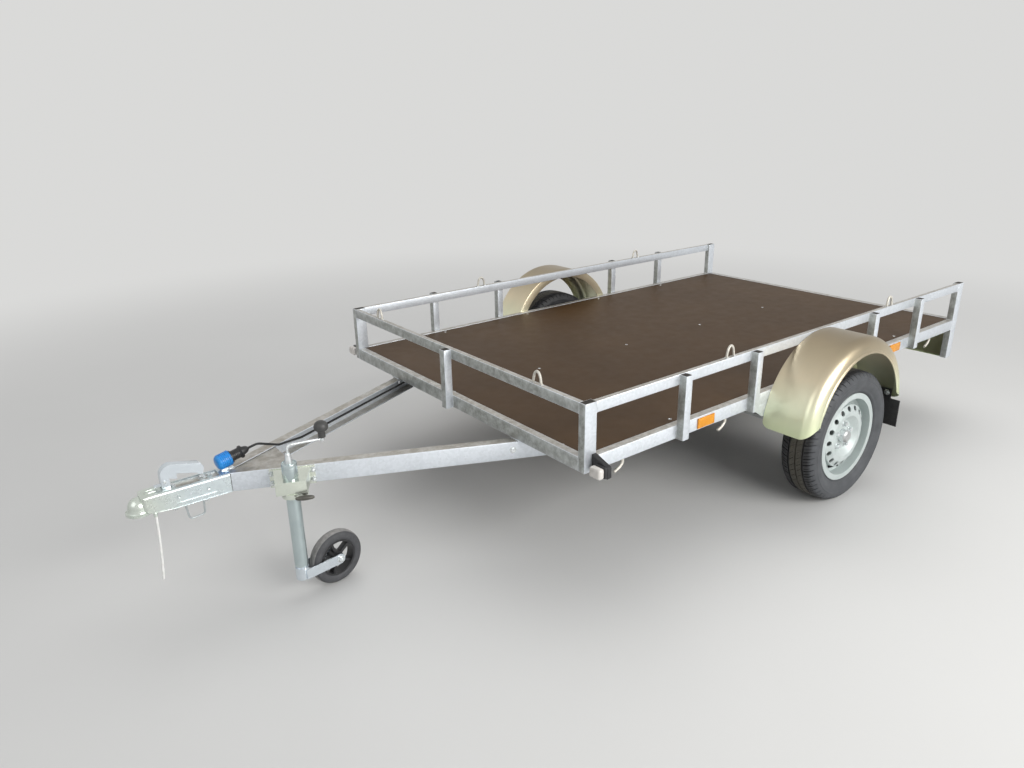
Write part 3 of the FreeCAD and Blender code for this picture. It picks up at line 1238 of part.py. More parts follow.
def jockey_rim():
    """A moulded rim with a web of spokes between its hub and its outer ring."""
    centre = jockey_wheel_centre()
    half = JOCKEY_WHEEL_WIDTH / 2 - JOCKEY_TYRE_TAPER
    start = centre - Y_AXIS * half
    inner_radius = JOCKEY_RIM_RADIUS - JOCKEY_RIM_WALL
    outer = ring(JOCKEY_RIM_RADIUS - SEAT_GAP, inner_radius, start, Y_AXIS, 2 * half)
    hub_ring = ring(JOCKEY_HUB_RADIUS, JOCKEY_PIN + TURNING_CLEARANCE, start, Y_AXIS, 2 * half)
    spoke_half = half - JOCKEY_SPOKE_INSET
    thick = JOCKEY_SPOKE_THICKNESS / 2
    spokes = []
    for step in range(JOCKEY_SPOKES):
        spoke = box(JOCKEY_HUB_RADIUS - CUT_MARGIN, inner_radius + CUT_MARGIN,
                    -spoke_half, spoke_half, -thick, thick)
        spoke.rotate(V(0, 0, 0), Y_AXIS, 360.0 / JOCKEY_SPOKES * step)
        spoke.translate(centre)
        spokes.append(spoke)
    return swivelled(outer.fuse([hub_ring] + spokes).removeSplitter())


# Safety cord

def safety_cord():
    """A thin cord that hangs from the coupling's left lower edge."""
    y = HEAD_HALF_WIDTH - COUPLING_WALL / 2
    place = CORD_PLACE
    points = [V(place, y, coupling_bottom(place) - SEAT_GAP),
              V(place + CORD_MIDDLE_SHIFT, y, CORD_MIDDLE_HEIGHT),
              V(place + CORD_END_SHIFT, y, CORD_END_HEIGHT)]
    runs = [points[0] - points[1], points[2] - points[1]]
    half_turn = (math.pi - runs[0].getAngle(runs[1])) / 2
    shorter_run = min(run.Length for run in runs)
    radius = CORD_BEND_SHARE * shorter_run / math.tan(half_turn)
    print("safety cord: one bend of radius", round(radius), "mm")
    return rod(points, 2 * CORD_RADIUS, radius)


def main():
    os.makedirs("parts", exist_ok=True)
    save("left_side_beam", [side_beam()])
    save("right_side_beam", [mirrored(side_beam())])
    save("front_beam", [end_beam(HALF_LENGTH, HALF_LENGTH - BEAM_WIDTH)])
    save("rear_beam", [end_beam(-HALF_LENGTH, -HALF_LENGTH + BEAM_WIDTH)])
    save("cross_members", cross_members())
    save("deck_board", [deck_board()])
    save("front_corner_posts", both_sides(corner_post(CORNER_X, HALF_LENGTH, BEAM_BOTTOM)))
    save("rear_corner_posts", both_sides(corner_post(-HALF_LENGTH, -CORNER_X, REAR_POST_BOTTOM)))
    save("left_posts", side_posts())
    save("right_posts", [mirrored(post) for post in side_posts()])
    save("front_post", [front_post()])
    save("left_rail", [side_rail()])
    save("right_rail", [mirrored(side_rail())])
    save("front_rail", [front_rail()])
    save("left_rope_eyes", rope_eyes_on_side())
    save("right_rope_eyes", [mirrored(eye) for eye in rope_eyes_on_side()])
    save("front_rope_eyes", rope_eyes_in_front())
    hooks = rope_hooks()
    save("rope_hooks", hooks + [mirrored(hook) for hook in hooks])
    reflectors = side_reflectors()
    save("side_reflectors", reflectors + [mirrored(one) for one in reflectors])
    save("front_lamp_arms", both_sides(front_lamp_arm()))
    save("front_lamps", both_sides(front_lamp()))
    save("rear_lamp_panel", [rear_lamp_panel()])
    save("rear_lamps", both_sides(rear_lamp()))
    save("axle_rails", both_sides(axle_rail()))
    save("axle_brackets", both_sides(axle_bracket()))
    save("axle_tube", [axle_tube()])
    save("swing_arms", both_sides(swing_arm()))
    for name, side in (("left", LEFT), ("right", RIGHT)):
        save(name + "_tyre", [on_side(tyre(), side)])
        save(name + "_rim", [on_side(rim(), side)])
        save(name + "_hub", [on_side(hub(), side)])
        save(name + "_mudguard", [on_side(mudguard(), side)])
        save(name + "_drawbar_member", [on_side(drawbar_member(), side)])
    save("mudflaps", both_sides(mudflap()))
    save("drawbar_plates", drawbar_head_plates() + drawbar_pads())
    save("coupling_body", [coupling_body()])
    save("coupling_lever", [coupling_lever()])
    save("coupling_bail", [coupling_bail()])
    save("plug_holder", [plug_holder()])
    save("plug_bracket", [plug_bracket()])
    save("plug", [plug()])
    save("lamp_lead", [lamp_lead()])
    save("jockey_clamp", [jockey_clamp()])
    save("clamp_handle", [clamp_handle()])
    save("jockey_outer_tube", [jockey_outer_tube()])
    save("jockey_crank", [jockey_crank()])
    save("crank_knob", [crank_knob()])
    save("jockey_inner_tube", [jockey_inner_tube()])
    save("jockey_fork", [jockey_fork()])
    save("jockey_tyre", [jockey_tyre()])
    save("jockey_rim", [jockey_rim()])
    save("safety_cord", [safety_cord()])


main()
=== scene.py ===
import json
import math
import random

import bmesh
import bpy
from mathutils import Matrix, Vector
from mathutils.bvhtree import BVHTree


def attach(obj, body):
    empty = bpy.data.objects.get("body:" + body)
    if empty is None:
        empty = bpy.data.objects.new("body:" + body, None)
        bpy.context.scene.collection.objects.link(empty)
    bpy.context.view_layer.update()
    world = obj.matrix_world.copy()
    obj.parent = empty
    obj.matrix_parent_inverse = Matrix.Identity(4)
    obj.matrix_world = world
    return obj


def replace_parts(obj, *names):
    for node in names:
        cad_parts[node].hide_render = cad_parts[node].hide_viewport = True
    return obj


# Looks of a flat-deck utility trailer. Lengths are in metres, in the row's frame:
# +X points to the coupling, +Y to the trailer's left, +Z up, with the floor at zero.

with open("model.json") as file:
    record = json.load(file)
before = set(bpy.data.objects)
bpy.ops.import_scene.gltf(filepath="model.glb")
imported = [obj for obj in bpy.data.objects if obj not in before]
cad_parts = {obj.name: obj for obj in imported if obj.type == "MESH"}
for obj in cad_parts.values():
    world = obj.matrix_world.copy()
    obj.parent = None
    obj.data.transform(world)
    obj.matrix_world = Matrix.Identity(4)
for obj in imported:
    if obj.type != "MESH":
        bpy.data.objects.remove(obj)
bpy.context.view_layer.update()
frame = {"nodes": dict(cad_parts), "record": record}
NODES = frame["nodes"]
BODIES = frame["record"]["behaviour"]["bodies"]
BODY_OF = {node: body for body, nodes in BODIES.items() for node in nodes}

# Places shared with the solids. Those along X count from the middle of the deck, and row()
# moves them to the row's frame.
DECK_TO_ROW = 0.5795
HALF_LENGTH = 1.28
HALF_WIDTH = 0.78
INNER_HALF_WIDTH = 0.75
DECK_TOP = 0.503
BOARD_TOP = 0.502
BEAM_BOTTOM = 0.453
RAIL_TOP = 0.689
RAIL_BOTTOM = 0.651
POST_SIZE = 0.032
SIDE_POSTS = (0.832, 0.434, -0.398, -0.796)
FRONT_POST = (0.004, 0.036)
SIDE_EYES = (0.563, -0.563)
FRONT_EYE = 0.537
EYE_INSET = 0.01
HOOKS = (1.098, 0.56, -1.03)
HOOK_INSET = 0.015
WHEEL_X = -0.01 - DECK_TO_ROW
WHEEL_Y = 0.892
TYRE_RADIUS = 0.273
GUARD_RADIUS = 0.348
GUARD_WIDTH = 0.2098
GUARD_SHOULDER = 0.048
GUARD_SHEET = 0.0022
GUARD_HEIGHT = 0.343
GUARD_CUT = 0.358
MEMBER_TOP = 0.446
MEMBER_BOTTOM = 0.38
MEMBER_SLOPE = 0.4 / 0.867
MEMBER_AT_FRAME = 0.435
JOCKEY = Vector((2.007 - DECK_TO_ROW, 0.192099, 0.0))
JOCKEY_REACH = 0.084
JOCKEY_WHEEL = Vector((1.8783 - DECK_TO_ROW, 0.174, 0.097))
JOCKEY_AXLE = Vector((-0.139173, 0.990268, 0.0))
CRANK_GRIP = Vector((1.89745 - DECK_TO_ROW, 0.2154, 0.56))
HOLDER = Vector((2.152 - DECK_TO_ROW, -0.01, 0.476))
UP = Vector((0, 0, 1))

EDGE_BEVEL = 0.0022
RNG_SEED = 7

# The camera at the photograph's viewing angle. The focal length is in pixels of a picture
# of that width, and the angles are in radians.
CAMERA_PLACE = (2.1855, 2.3542, 1.5504)
YAW, PITCH, ROLL = -2.2238, 0.3512, 0.0169
FOCAL_PIXELS = 759.66
PICTURE_WIDTH = 1024
SENSOR_WIDTH = 36

# The background's colour, and how far out the floor takes it on
BACKGROUND = (0.7, 0.7, 0.69)
FLOOR_FADE = (2.4, 6.0)
FLOOR_SIZE = 60


def row(x, y, z):
    """A place given from the middle of the deck, moved to the row's frame."""
    return Vector((x - DECK_TO_ROW, y, z))


# Materials

def feed(tree, node, sockets):
    """Gives each socket of a node a value, or a link from another node's output."""
    for name, value in sockets.items():
        if isinstance(value, bpy.types.NodeSocket):
            tree.links.new(value, node.inputs[name])
        else:
            node.inputs[name].default_value = value


def add_node(tree, kind, sockets, **settings):
    """A new node with its settings made and its sockets fed, given back as its outputs."""
    node = tree.nodes.new("ShaderNode" + kind)
    for name, value in settings.items():
        setattr(node, name, value)
    feed(tree, node, sockets)
    return node.outputs


def calculate(tree, operation, first, second=0.0):
    """One step of arithmetic."""
    return add_node(tree, "Math", {0: first, 1: second}, operation=operation)["Value"]


def colour_ramp(tree, value, stops):
    """Colours along a value, from two or more stops of (place, colour)."""
    node = tree.nodes.new("ShaderNodeValToRGB")
    elements = node.color_ramp.elements
    for index in (0, -1):
        elements[index].position = stops[index][0]
        elements[index].color = (*stops[index][1], 1)
    for position, colour in stops[1:-1]:
        elements.new(position).color = (*colour, 1)
    feed(tree, node, {"Fac": value})
    return node.outputs["Color"]


class Graph:
    """A short way to write one material's nodes."""

    def __init__(self, name):
        self.material = bpy.data.materials.new(name)
        self.material.use_nodes = True
        self.tree = self.material.node_tree
        self.shader = self.tree.nodes["Principled BSDF"]
        self.place = self.add("TexCoord", {})["Object"]

    def add(self, kind, sockets, **settings):
        return add_node(self.tree, kind, sockets, **settings)

    def set(self, **values):
        for name, value in values.items():
            self.shader.inputs[name.replace("_", " ")].default_value = value
        return self

    def noise(self, scale, detail=3, rough=0.55, stretch=None):
        place = self.place
        if stretch:
            place = self.add("Mapping", {"Scale": stretch, "Vector": place})["Vector"]
        return self.add("TexNoise", {"Scale": scale, "Detail": detail, "Roughness": rough,
                                     "Vector": place})["Fac"]

    def cells(self, scale):
        colour = self.add("TexVoronoi", {"Scale": scale, "Vector": self.place})["Color"]
        return self.add("SeparateColor", {"Color": colour})["Red"]

    def part(self, vector, axis):
        """One of a vector's three numbers."""
        return self.add("SeparateXYZ", {"Vector": vector})[axis]

    def share(self, value, low, high):
        """0 where a value is at the low number and 1 where it is at the high one."""
        return self.add("MapRange", {"From Min": low, "From Max": high, "Value": value})["Result"]

    def along(self, axis, low, high):
        """0 at the low place along an axis and 1 at the high one."""
        return self.share(self.part(self.place, axis), low, high)

    def beside(self, axis, place, near, far):
        """1 close to a place along an axis, on both sides of the trailer, and 0 away from it."""
        value = calculate(self.tree, "ABSOLUTE", self.part(self.place, axis))
        value = calculate(self.tree, "SUBTRACT", value, place)
        return self.share(calculate(self.tree, "ABSOLUTE", value), far, near)

    def facing(self, axis, low, high):
        """0 on faces turned away from an axis of the world and 1 on faces turned to it."""
        return self.share(self.part(self.add("NewGeometry", {})["Normal"], axis), low, high)

    def grid(self, scale):
        """A fine moulded grid, as reflectors have."""
        upright = self.add("Mapping", {"Rotation": (math.radians(90), 0.0, 0.0),
                                       "Vector": self.place})
        return self.add("TexBrick", {"Scale": scale, "Mortar Size": 0.06, "Brick Width": 0.5,
                                     "Row Height": 0.5, "Vector": upright["Vector"]},
                        offset=0.0)["Fac"]

    def ramp(self, value, stops):
        return colour_ramp(self.tree, value, stops)

    def tones(self, scale, detail, dark, light):
        """Two tones in soft clouds."""
        return self.ramp(self.noise(scale, detail), [(0.3, dark), (0.75, light)])

    def mix(self, factor, first, second, blend="MIX"):
        return self.add("Mix", {"Factor": factor, "A": first, "B": second}, data_type="RGBA",
                        blend_type=blend)["Result"]

    def finish(self, colour, gloss, rough, height, grain):
        """Links the colour, a gloss pattern between two roughnesses, and the bumps of a height.

        The grain holds the strength and the depth of the bumps.
        """
        spread = self.add("MapRange", {"To Min": rough[0], "To Max": rough[1], "Value": gloss})
        bump = self.add("Bump", {"Strength": grain[0], "Distance": grain[1], "Height": height})
        feed(self.tree, self.shader, {"Base Color": colour, "Roughness": spread["Result"],
                                      "Normal": bump["Normal"]})
        return self.material


def galvanised(name, dark, light, spangle_scale, metallic, rough, mottle=0.35, grain=0.1,
               facing_shade_and_dust=()):
    """Zinc coating: spangle of slightly different greys, clouded, a little uneven in gloss.

    Each entry of the last argument names an axis and the two mottled tones that faces across it
    take on. They are painted shade and a painted reflection, with some dust.
    """
    g = Graph(name).set(Metallic=metallic)
    spangle = g.ramp(g.cells(spangle_scale), [(0.0, dark), (1.0, light)])
    colour = g.mix(mottle, spangle, g.tones(9, 5, tuple(c * 0.84 for c in light), light))
    # Faces turned to each axis take on mottled darker tones: painted shade and a painted
    # reflection, with some dust
    for axis, first, second in facing_shade_and_dust:
        shade_dust_mottle = g.ramp(g.noise(30, 5, 0.7), [(0.38, first), (0.62, second)])
        shaded_colour = g.mix(1.0, colour, shade_dust_mottle, "MULTIPLY")
        colour = g.mix(g.facing(axis, 0.9, 0.99), colour, shaded_colour)
    return g.finish(colour, g.noise(26), rough, g.noise(240, 2), (grain, 0.0006))


def coupling_coat():
    """Bright zinc that turns yellowish towards the nose."""
    g = Graph("coupling_zinc").set(Metallic=0.75)
    spangle = g.ramp(g.cells(60), [(0.0, (0.62, 0.69, 0.71)), (1.0, (0.66, 0.73, 0.75))])
    nose = g.ramp(g.along("X", 2.28 - DECK_TO_ROW, 2.4 - DECK_TO_ROW),
                  [(0.0, (1.0, 1.0, 1.0)), (1.0, (1.0, 0.97, 0.86))])
    return g.finish(g.mix(1.0, spangle, nose, "MULTIPLY"), g.noise(30), (0.2, 0.36),
                    g.noise(90, 2), (0.03, 0.0004))


def guard_coat():
    """Bright sheet with drawn streaks, and a painted reflection by height: greenish low down and
    brown on the crown, where it mirrors from above.
    """
    g = Graph("galvanised_sheet").set(Metallic=0.85)
    # Painted reflection: the colour runs from pale green low down to dark brown on the crown
    painted_reflection = g.ramp(g.along("Z", 0.36, 0.7),
                  [(0.0, (0.8, 0.9, 0.62)), (0.3, (0.86, 0.88, 0.68)),
                   (0.6, (0.76, 0.67, 0.51)), (1.0, (0.33, 0.27, 0.19))])
    streak = g.ramp(g.noise(5, 4, 0.6, (1, 1, 0.35)),
                    [(0.3, (1.0, 0.96, 0.86)), (0.7, (0.8, 0.8, 0.74))])
    return g.finish(g.mix(0.6, painted_reflection, g.mix(1.0, painted_reflection, streak, "MULTIPLY")), g.noise(7),
                    (0.26, 0.4), g.noise(60, 2), (0.04, 0.0006))


def board_coat():
    """Dark brown coated plywood."""
    g = Graph("board").set(Specular_IOR_Level=0.14)
    tone = g.ramp(g.noise(3, 6, 0.6),
                  [(0.3, (0.048, 0.026, 0.0105)), (0.7, (0.063, 0.035, 0.015))])
    return g.finish(tone, g.noise(18, 4), (0.4, 0.54), g.noise(320, 2), (0.08, 0.0004))


def tyre_coat():
    """Black rubber with a worn tread, and a painted sheen that makes the outer sidewall lighter and
    bluish.
    """
    g = Graph("tyre").set(Specular_IOR_Level=0.45)
    black = g.tones(30, 4, (0.02, 0.02, 0.021), (0.04, 0.04, 0.042))
    worn = g.tones(160, 3, (0.05, 0.046, 0.036), (0.095, 0.088, 0.07))
    # Painted sheen: a lighter bluish grey on the outer sidewall, standing in for light the rubber
    # would catch
    painted_sheen = g.tones(22, 4, (0.05, 0.053, 0.058), (0.078, 0.082, 0.089))
    tread = g.mix(g.beside("Y", WHEEL_Y, 0.022, 0.03), black, worn)
    tone = g.mix(g.beside("Y", WHEEL_Y + 0.083, 0.018, 0.034), tread, painted_sheen)
    return g.finish(tone, g.noise(14), (0.5, 0.7), g.noise(500, 2), (0.12, 0.0005))


def rim_coat():
    """Silver paint, a little worn."""
    g = Graph("rim_silver").set(Metallic=0.25)
    tone = g.tones(16, 3, (0.46, 0.51, 0.5), (0.54, 0.59, 0.58))
    return g.finish(tone, g.noise(35), (0.42, 0.54), g.noise(420, 2), (0.05, 0.0004))


def reflector_coat():
    """Amber plastic with a fine grid behind its face."""
    g = Graph("amber").set(Coat_Weight=0.3)
    tone = g.tones(40, 2, (0.64, 0.24, 0.003), (0.76, 0.31, 0.005))
    return g.finish(tone, g.noise(45), (0.14, 0.24), g.grid(260), (0.35, 0.0006))


# Painted shade and dust. Upward faces are darker and browner, partly dust and partly a painted
# reflection of a warm ceiling. Faces turned to the front (+X) are darker, which is painted shade.
PAINTED_SHADE_AND_DUST = (("Z", (0.5, 0.44, 0.36), (0.74, 0.68, 0.6)),
             ("X", (0.4, 0.39, 0.34), (0.68, 0.67, 0.61)))
ZINC_COATS = (
    # name, dark and light spangle, its scale, metal, roughness, clouds, grain, painted shade and
    # dust by facing
    ("galvanised_tube", (0.65, 0.69, 0.73), (0.77, 0.81, 0.86), 120, 0.55, (0.28, 0.44), 0.35,
     0.1, PAINTED_SHADE_AND_DUST),
    ("weld", (0.56, 0.58, 0.6), (0.76, 0.79, 0.81), 160, 0.5, (0.4, 0.6), 0.35, 0.1, PAINTED_SHADE_AND_DUST),
    ("zinc_parts", (0.68, 0.74, 0.79), (0.74, 0.8, 0.85), 40, 0.8, (0.18, 0.3), 0.5, 0.03),
    ("yellow_zinc", (0.7, 0.74, 0.66), (0.75, 0.79, 0.7), 45, 0.75, (0.2, 0.3), 0.3, 0.03),
    ("tube_zinc", (0.47, 0.55, 0.56), (0.56, 0.64, 0.65), 40, 0.85, (0.14, 0.24), 0.5, 0.03),
    ("wire_zinc", (0.4, 0.44, 0.45), (0.5, 0.54, 0.55), 60, 0.6, (0.28, 0.4), 0.5, 0.03),
    ("dull_zinc", (0.54, 0.52, 0.46), (0.7, 0.67, 0.6), 90, 0.35, (0.4, 0.55), 0.35, 0.05),
    ("dark_zinc", (0.07, 0.068, 0.06), (0.14, 0.135, 0.12), 60, 0.7, (0.35, 0.5), 0.5),
    ("hub_steel", (0.34, 0.35, 0.35), (0.5, 0.51, 0.51), 80, 0.6, (0.35, 0.5)),
    ("cap_zinc", (0.62, 0.66, 0.66), (0.8, 0.83, 0.84), 60, 0.7, (0.2, 0.32)),
)
PLASTICS = (
    # name, dark and light tone, roughness, clear coat
    ("black_rubber", (0.014, 0.014, 0.015), (0.028, 0.028, 0.029), (0.55, 0.75), 0),
    # painted shade in the posts' open tops and the rails' slots, and the dark seam on the
    # coupling's sides
    ("painted_shade_and_seam", (0.02, 0.017, 0.014), (0.034, 0.029, 0.024), (0.7, 0.85), 0),
    ("knob_plastic", (0.045, 0.045, 0.044), (0.065, 0.065, 0.063), (0.4, 0.55), 0),
    ("black_plastic", (0.016, 0.016, 0.017), (0.028, 0.028, 0.03), (0.32, 0.48), 0),
    ("grey_rubber", (0.05, 0.051, 0.055), (0.075, 0.076, 0.081), (0.55, 0.72), 0),
    ("worn_rubber", (0.2, 0.195, 0.19), (0.33, 0.32, 0.31), (0.7, 0.85), 0),
    ("blue_plastic", (0.01, 0.22, 0.62), (0.014, 0.28, 0.74), (0.3, 0.42), 0.2),
    ("white_lens", (0.6, 0.57, 0.53), (0.7, 0.67, 0.63), (0.14, 0.26), 0.4),
    ("red_lens", (0.4, 0.012, 0.012), (0.55, 0.02, 0.02), (0.12, 0.22), 0.5),
    ("white_cord", (0.72, 0.72, 0.69), (0.86, 0.86, 0.84), (0.6, 0.8), 0),
)


def make_materials():
    """All materials by name."""
    made = {coat[0]: galvanised(*coat) for coat in ZINC_COATS}
    made.update(coupling_zinc=coupling_coat(), galvanised_sheet=guard_coat(), board=board_coat(),
                tyre=tyre_coat(), rim_silver=rim_coat(), amber=reflector_coat())
    for name, dark, light, rough, coat in PLASTICS:
        g = Graph(name).set(Coat_Weight=coat)
        made[name] = g.finish(g.tones(70, 3, dark, light), g.noise(45), rough,
                              g.noise(700, 2), (0.08, 0.0003))
    return made


MATERIALS = make_materials()


# Mesh helpers

def add_object(name, data):
    """A new object in the scene."""
    made = bpy.data.objects.new(name, data)
    bpy.context.scene.collection.objects.link(made)
    return made


def finish_mesh(name, bm, angle=35):
    """A smoothed mesh from a bmesh, with its edges sharp from an angle in degrees."""
    mesh = bpy.data.meshes.new(name)
    bm.to_mesh(mesh)
    bm.free()
    mesh.shade_smooth()
    mesh.set_sharp_from_angle(angle=math.radians(angle))
    return mesh


def link_object(name, mesh, material, body):
    """A new piece from a mesh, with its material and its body."""
    made = add_object(name, mesh)
    mesh.materials.append(MATERIALS[material])
    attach(made, body)
    return made


def piece(name, bm, material, body="chassis", slot=None, angle=35, replaced=()):
    """Turns a finished bmesh into a piece that rides on a body and stands for the named nodes."""
    bmesh.ops.recalc_face_normals(bm, faces=bm.faces)
    made = link_object(name, finish_mesh(name, bm, angle), material, body)
    if replaced:
        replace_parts(made, *replaced)


def rounded(bm, width, steep=40, segments=2, shortest=0.0):
    """Rounds the outer edges of a bmesh that are steep, in degrees, and long enough."""
    chosen = [edge for edge in bm.edges if len(edge.link_faces) == 2 and edge.is_convex
              and edge.calc_face_angle(0.0) > math.radians(steep) and edge.calc_length() > shortest]
    bmesh.ops.bevel(bm, geom=chosen, offset=width, offset_type="OFFSET", segments=segments,
                    profile=0.5, affect="EDGES", clamp_overlap=True)


def bevelled_copy(node, material, width=EDGE_BEVEL, shortest=0.02, segments=2, steep=50):
    """A copy of a node with its outer edges rounded, shown in its place."""
    bm = bmesh.new()
    bm.from_mesh(NODES[node].data)
    bmesh.ops.remove_doubles(bm, verts=bm.verts, dist=2e-6)
    bmesh.ops.dissolve_limit(bm, angle_limit=math.radians(0.8), verts=bm.verts, edges=bm.edges)
    rounded(bm, width, steep, segments, shortest)
    name = node + "_look"
    body = BODY_OF.get(node, "chassis")
    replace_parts(link_object(name, finish_mesh(name, bm), material, body), node)


def frame_of(axis):
    """An axis with two directions across it."""
    axis = Vector(axis).normalized()
    helper = UP if abs(axis.z) < 0.9 else Vector((1, 0, 0))
    first = axis.cross(helper).normalized()
    return axis, first, axis.cross(first).normalized()


def angles(steps, turn=math.pi / 2):
    """Angles in equal steps from zero to a turn."""
    return [turn * step / steps for step in range(steps + 1)]


def ring_of(bm, centre, first, second, radius, segments):
    """A ring of vertices in the plane of two directions."""
    return [bm.verts.new(centre + (first * math.cos(angle) + second * math.sin(angle)) * radius)
            for angle in angles(segments, 2 * math.pi)[:-1]]


def spoke_at(degrees):
    """The direction at an angle in a road wheel's plane."""
    return Vector((math.cos(math.radians(degrees)), 0, math.sin(math.radians(degrees))))


def join_rings(bm, rings, close_ends=True):
    """Faces between neighbouring rings of vertices, with a cap on each end."""
    for low, high in zip(rings, rings[1:]):
        count = len(low)
        for i in range(count):
            bm.faces.new((low[i], low[(i + 1) % count], high[(i + 1) % count], high[i]))
    if close_ends:
        bm.faces.new(list(reversed(rings[0])))
        bm.faces.new(rings[-1])


def mm(pairs):
    """Pairs given in millimetres, in metres."""
    return [(first / 1000, second / 1000) for first, second in pairs]


def lathe(bm, profile, centre, axis, segments=32, closed=False):
    """A profile of (radius, place along the axis) turned about it, capped unless it is closed."""
    axis, first, second = frame_of(axis)
    rings = [ring_of(bm, Vector(centre) + axis * along, first, second, max(radius, 2e-5), segments)
             for radius, along in profile]
    if closed:
        rings.append(rings[0])
    join_rings(bm, rings, close_ends=not closed)


def turned(name, material, profile, centre, axis, segments, body="chassis", closed=False,
           **more):
    """A piece that is one turned shape."""
    bm = bmesh.new()
    lathe(bm, profile, centre, axis, segments, closed)
    piece(name, bm, material, body, **more)


def tube(bm, points, radius, segments=10):
    """A round bar along points; radius is a number, or a function of the share of its length."""
    points = [Vector(p) for p in points]
    last = len(points) - 1
    rings = []
    first = None
    for i, place in enumerate(points):
        ahead = (points[min(i + 1, last)] - points[max(i - 1, 0)]).normalized()
        if first is None:
            first = frame_of(ahead)[1]
        first = (first - ahead * first.dot(ahead)).normalized()
        size = radius(i / last) if callable(radius) else radius
        rings.append(ring_of(bm, place, first, ahead.cross(first), size, segments))
    join_rings(bm, rings)


def tapered(radius, steepness, least):
    """A radius for tube() that thins out towards both ends."""
    return lambda share: radius * min(1.0, steepness * min(share, 1 - share) + least)


def block(bm, low, high):
    """A box between two corners."""
    low, high = Vector(low), Vector(high)
    for vert in bmesh.ops.create_cube(bm, size=1.0)["verts"]:
        vert.co = Vector([low[i] + (vert.co[i] + 0.5) * (high[i] - low[i]) for i in range(3)])
    bm.normal_update()


def hexagon(bm, centre, axis, radius, height, washer=0.0, shank=0.0, shank_radius=0.0):
    """A hexagon nut or bolt head with a chamfered top, its washer and the thread's end."""
    if washer:
        lathe(bm, [(washer, 0.0), (washer, 0.0014), (washer * 0.97, 0.0018)], centre, axis, 24)
        centre = Vector(centre) + Vector(axis).normalized() * 0.0018
    lathe(bm, [(radius, 0.0), (radius, height * 0.82), (radius * 0.86, height)], centre, axis, 6)
    if shank:
        lathe(bm, [(shank_radius, 0.0), (shank_radius, height + shank * 0.85),
                   (shank_radius * 0.75, height + shank)], centre, axis, 14)


def paint(node, material):
    """Gives a carried CAD node its finished material."""
    materials = NODES[node].data.materials
    if not materials:
        materials.append(None)
    for index in range(len(materials)):
        materials[index] = MATERIALS[material]


# Camera and light

def make_camera():
    """The camera, turned by its yaw, pitch and roll."""
    ahead = Vector((math.cos(YAW) * math.cos(PITCH), math.sin(YAW) * math.cos(PITCH),
                    -math.sin(PITCH)))
    right = Vector((math.sin(YAW), -math.cos(YAW), 0.0))
    down = ahead.cross(right)
    right, down = (right * math.cos(ROLL) + down * math.sin(ROLL),
                   down * math.cos(ROLL) - right * math.sin(ROLL))
    data = bpy.data.cameras.new("camera")
    data.sensor_width = SENSOR_WIDTH
    data.lens = SENSOR_WIDTH * FOCAL_PIXELS / PICTURE_WIDTH
    data.clip_end = 100
    camera = add_object("camera", data)
    turn = Matrix((right, -down, -ahead)).transposed().to_4x4()
    camera.matrix_world = Matrix.Translation(CAMERA_PLACE) @ turn
    bpy.context.scene.camera = camera


def make_light(name, place, target, size, power, colour=(1, 1, 1), glossy=True):
    """A soft lamp, left out of what metal mirrors where glossy is false."""
    data = bpy.data.lights.new(name, "AREA")
    data.shape = "RECTANGLE"
    data.size, data.size_y = size
    data.energy = power
    data.color = colour
    light = add_object(name, data)
    light.location = place
    light.visible_glossy = glossy
    light.rotation_euler = (Vector(target) - Vector(place)).to_track_quat("-Z", "Y").to_euler()


def seen_rays(tree):
    """1 for rays from the camera, metal and glass, and 0 for those that only light things."""
    path = add_node(tree, "LightPath", {})
    value = path["Is Camera Ray"]
    for name in ("Is Glossy Ray", "Is Transmission Ray"):
        value = calculate(tree, "MAXIMUM", value, path[name])
    return value


def make_floor():
    """A plain pale floor that runs out into the colour of the background."""
    bm = bmesh.new()
    bmesh.ops.create_grid(bm, x_segments=2, y_segments=2, size=FLOOR_SIZE)
    floor = add_object("floor", finish_mesh("floor", bm))
    g = Graph("floor_paint").set(Roughness=0.6)
    tone = g.tones(0.8, 3, (0.62, 0.62, 0.61), (0.64, 0.64, 0.63))
    feed(g.tree, g.shader, {"Base Color": tone})
    reach = g.add("VectorMath", {0: g.place}, operation="LENGTH")["Value"]
    spread = g.add("MapRange", {"From Min": FLOOR_FADE[0], "From Max": FLOOR_FADE[1],
                                "Value": reach}, interpolation_type="SMOOTHSTEP")["Result"]
    share = calculate(g.tree, "MULTIPLY", spread, seen_rays(g.tree))
    glow = g.add("Emission", {"Color": (*BACKGROUND, 1)})
    blend = g.add("MixShader", {"Fac": share, 1: g.shader.outputs["BSDF"], 2: glow["Emission"]})
    feed(g.tree, g.tree.nodes["Material Output"], {"Surface": blend["Shader"]})
    floor.data.materials.append(g.material)


def make_world():
    """A soft surround that lights the object, and the pale background that is seen."""
    world = bpy.data.worlds.new("studio")
    bpy.context.scene.world = world
    world.use_nodes = True
    tree = world.node_tree
    lit = tree.nodes["Background"]
    around = add_node(tree, "TexCoord", {})["Generated"]
    side = add_node(tree, "SeparateXYZ", {"Vector": around})["Y"]
    spread = add_node(tree, "MapRange", {"From Min": -1.0, "Value": side})["Result"]
    tone = colour_ramp(tree, spread, [(0.35, (0.4, 0.38, 0.36)), (0.85, (0.9, 0.94, 1.0))])
    feed(tree, lit, {"Color": tone, "Strength": 0.55})
    seen = add_node(tree, "Background", {"Color": (*BACKGROUND, 1)})
    choose = add_node(tree, "MixShader", {"Fac": seen_rays(tree), 1: lit.outputs["Background"],
                                          2: seen["Background"]})
    feed(tree, tree.nodes["World Output"], {"Surface": choose["Shader"]})


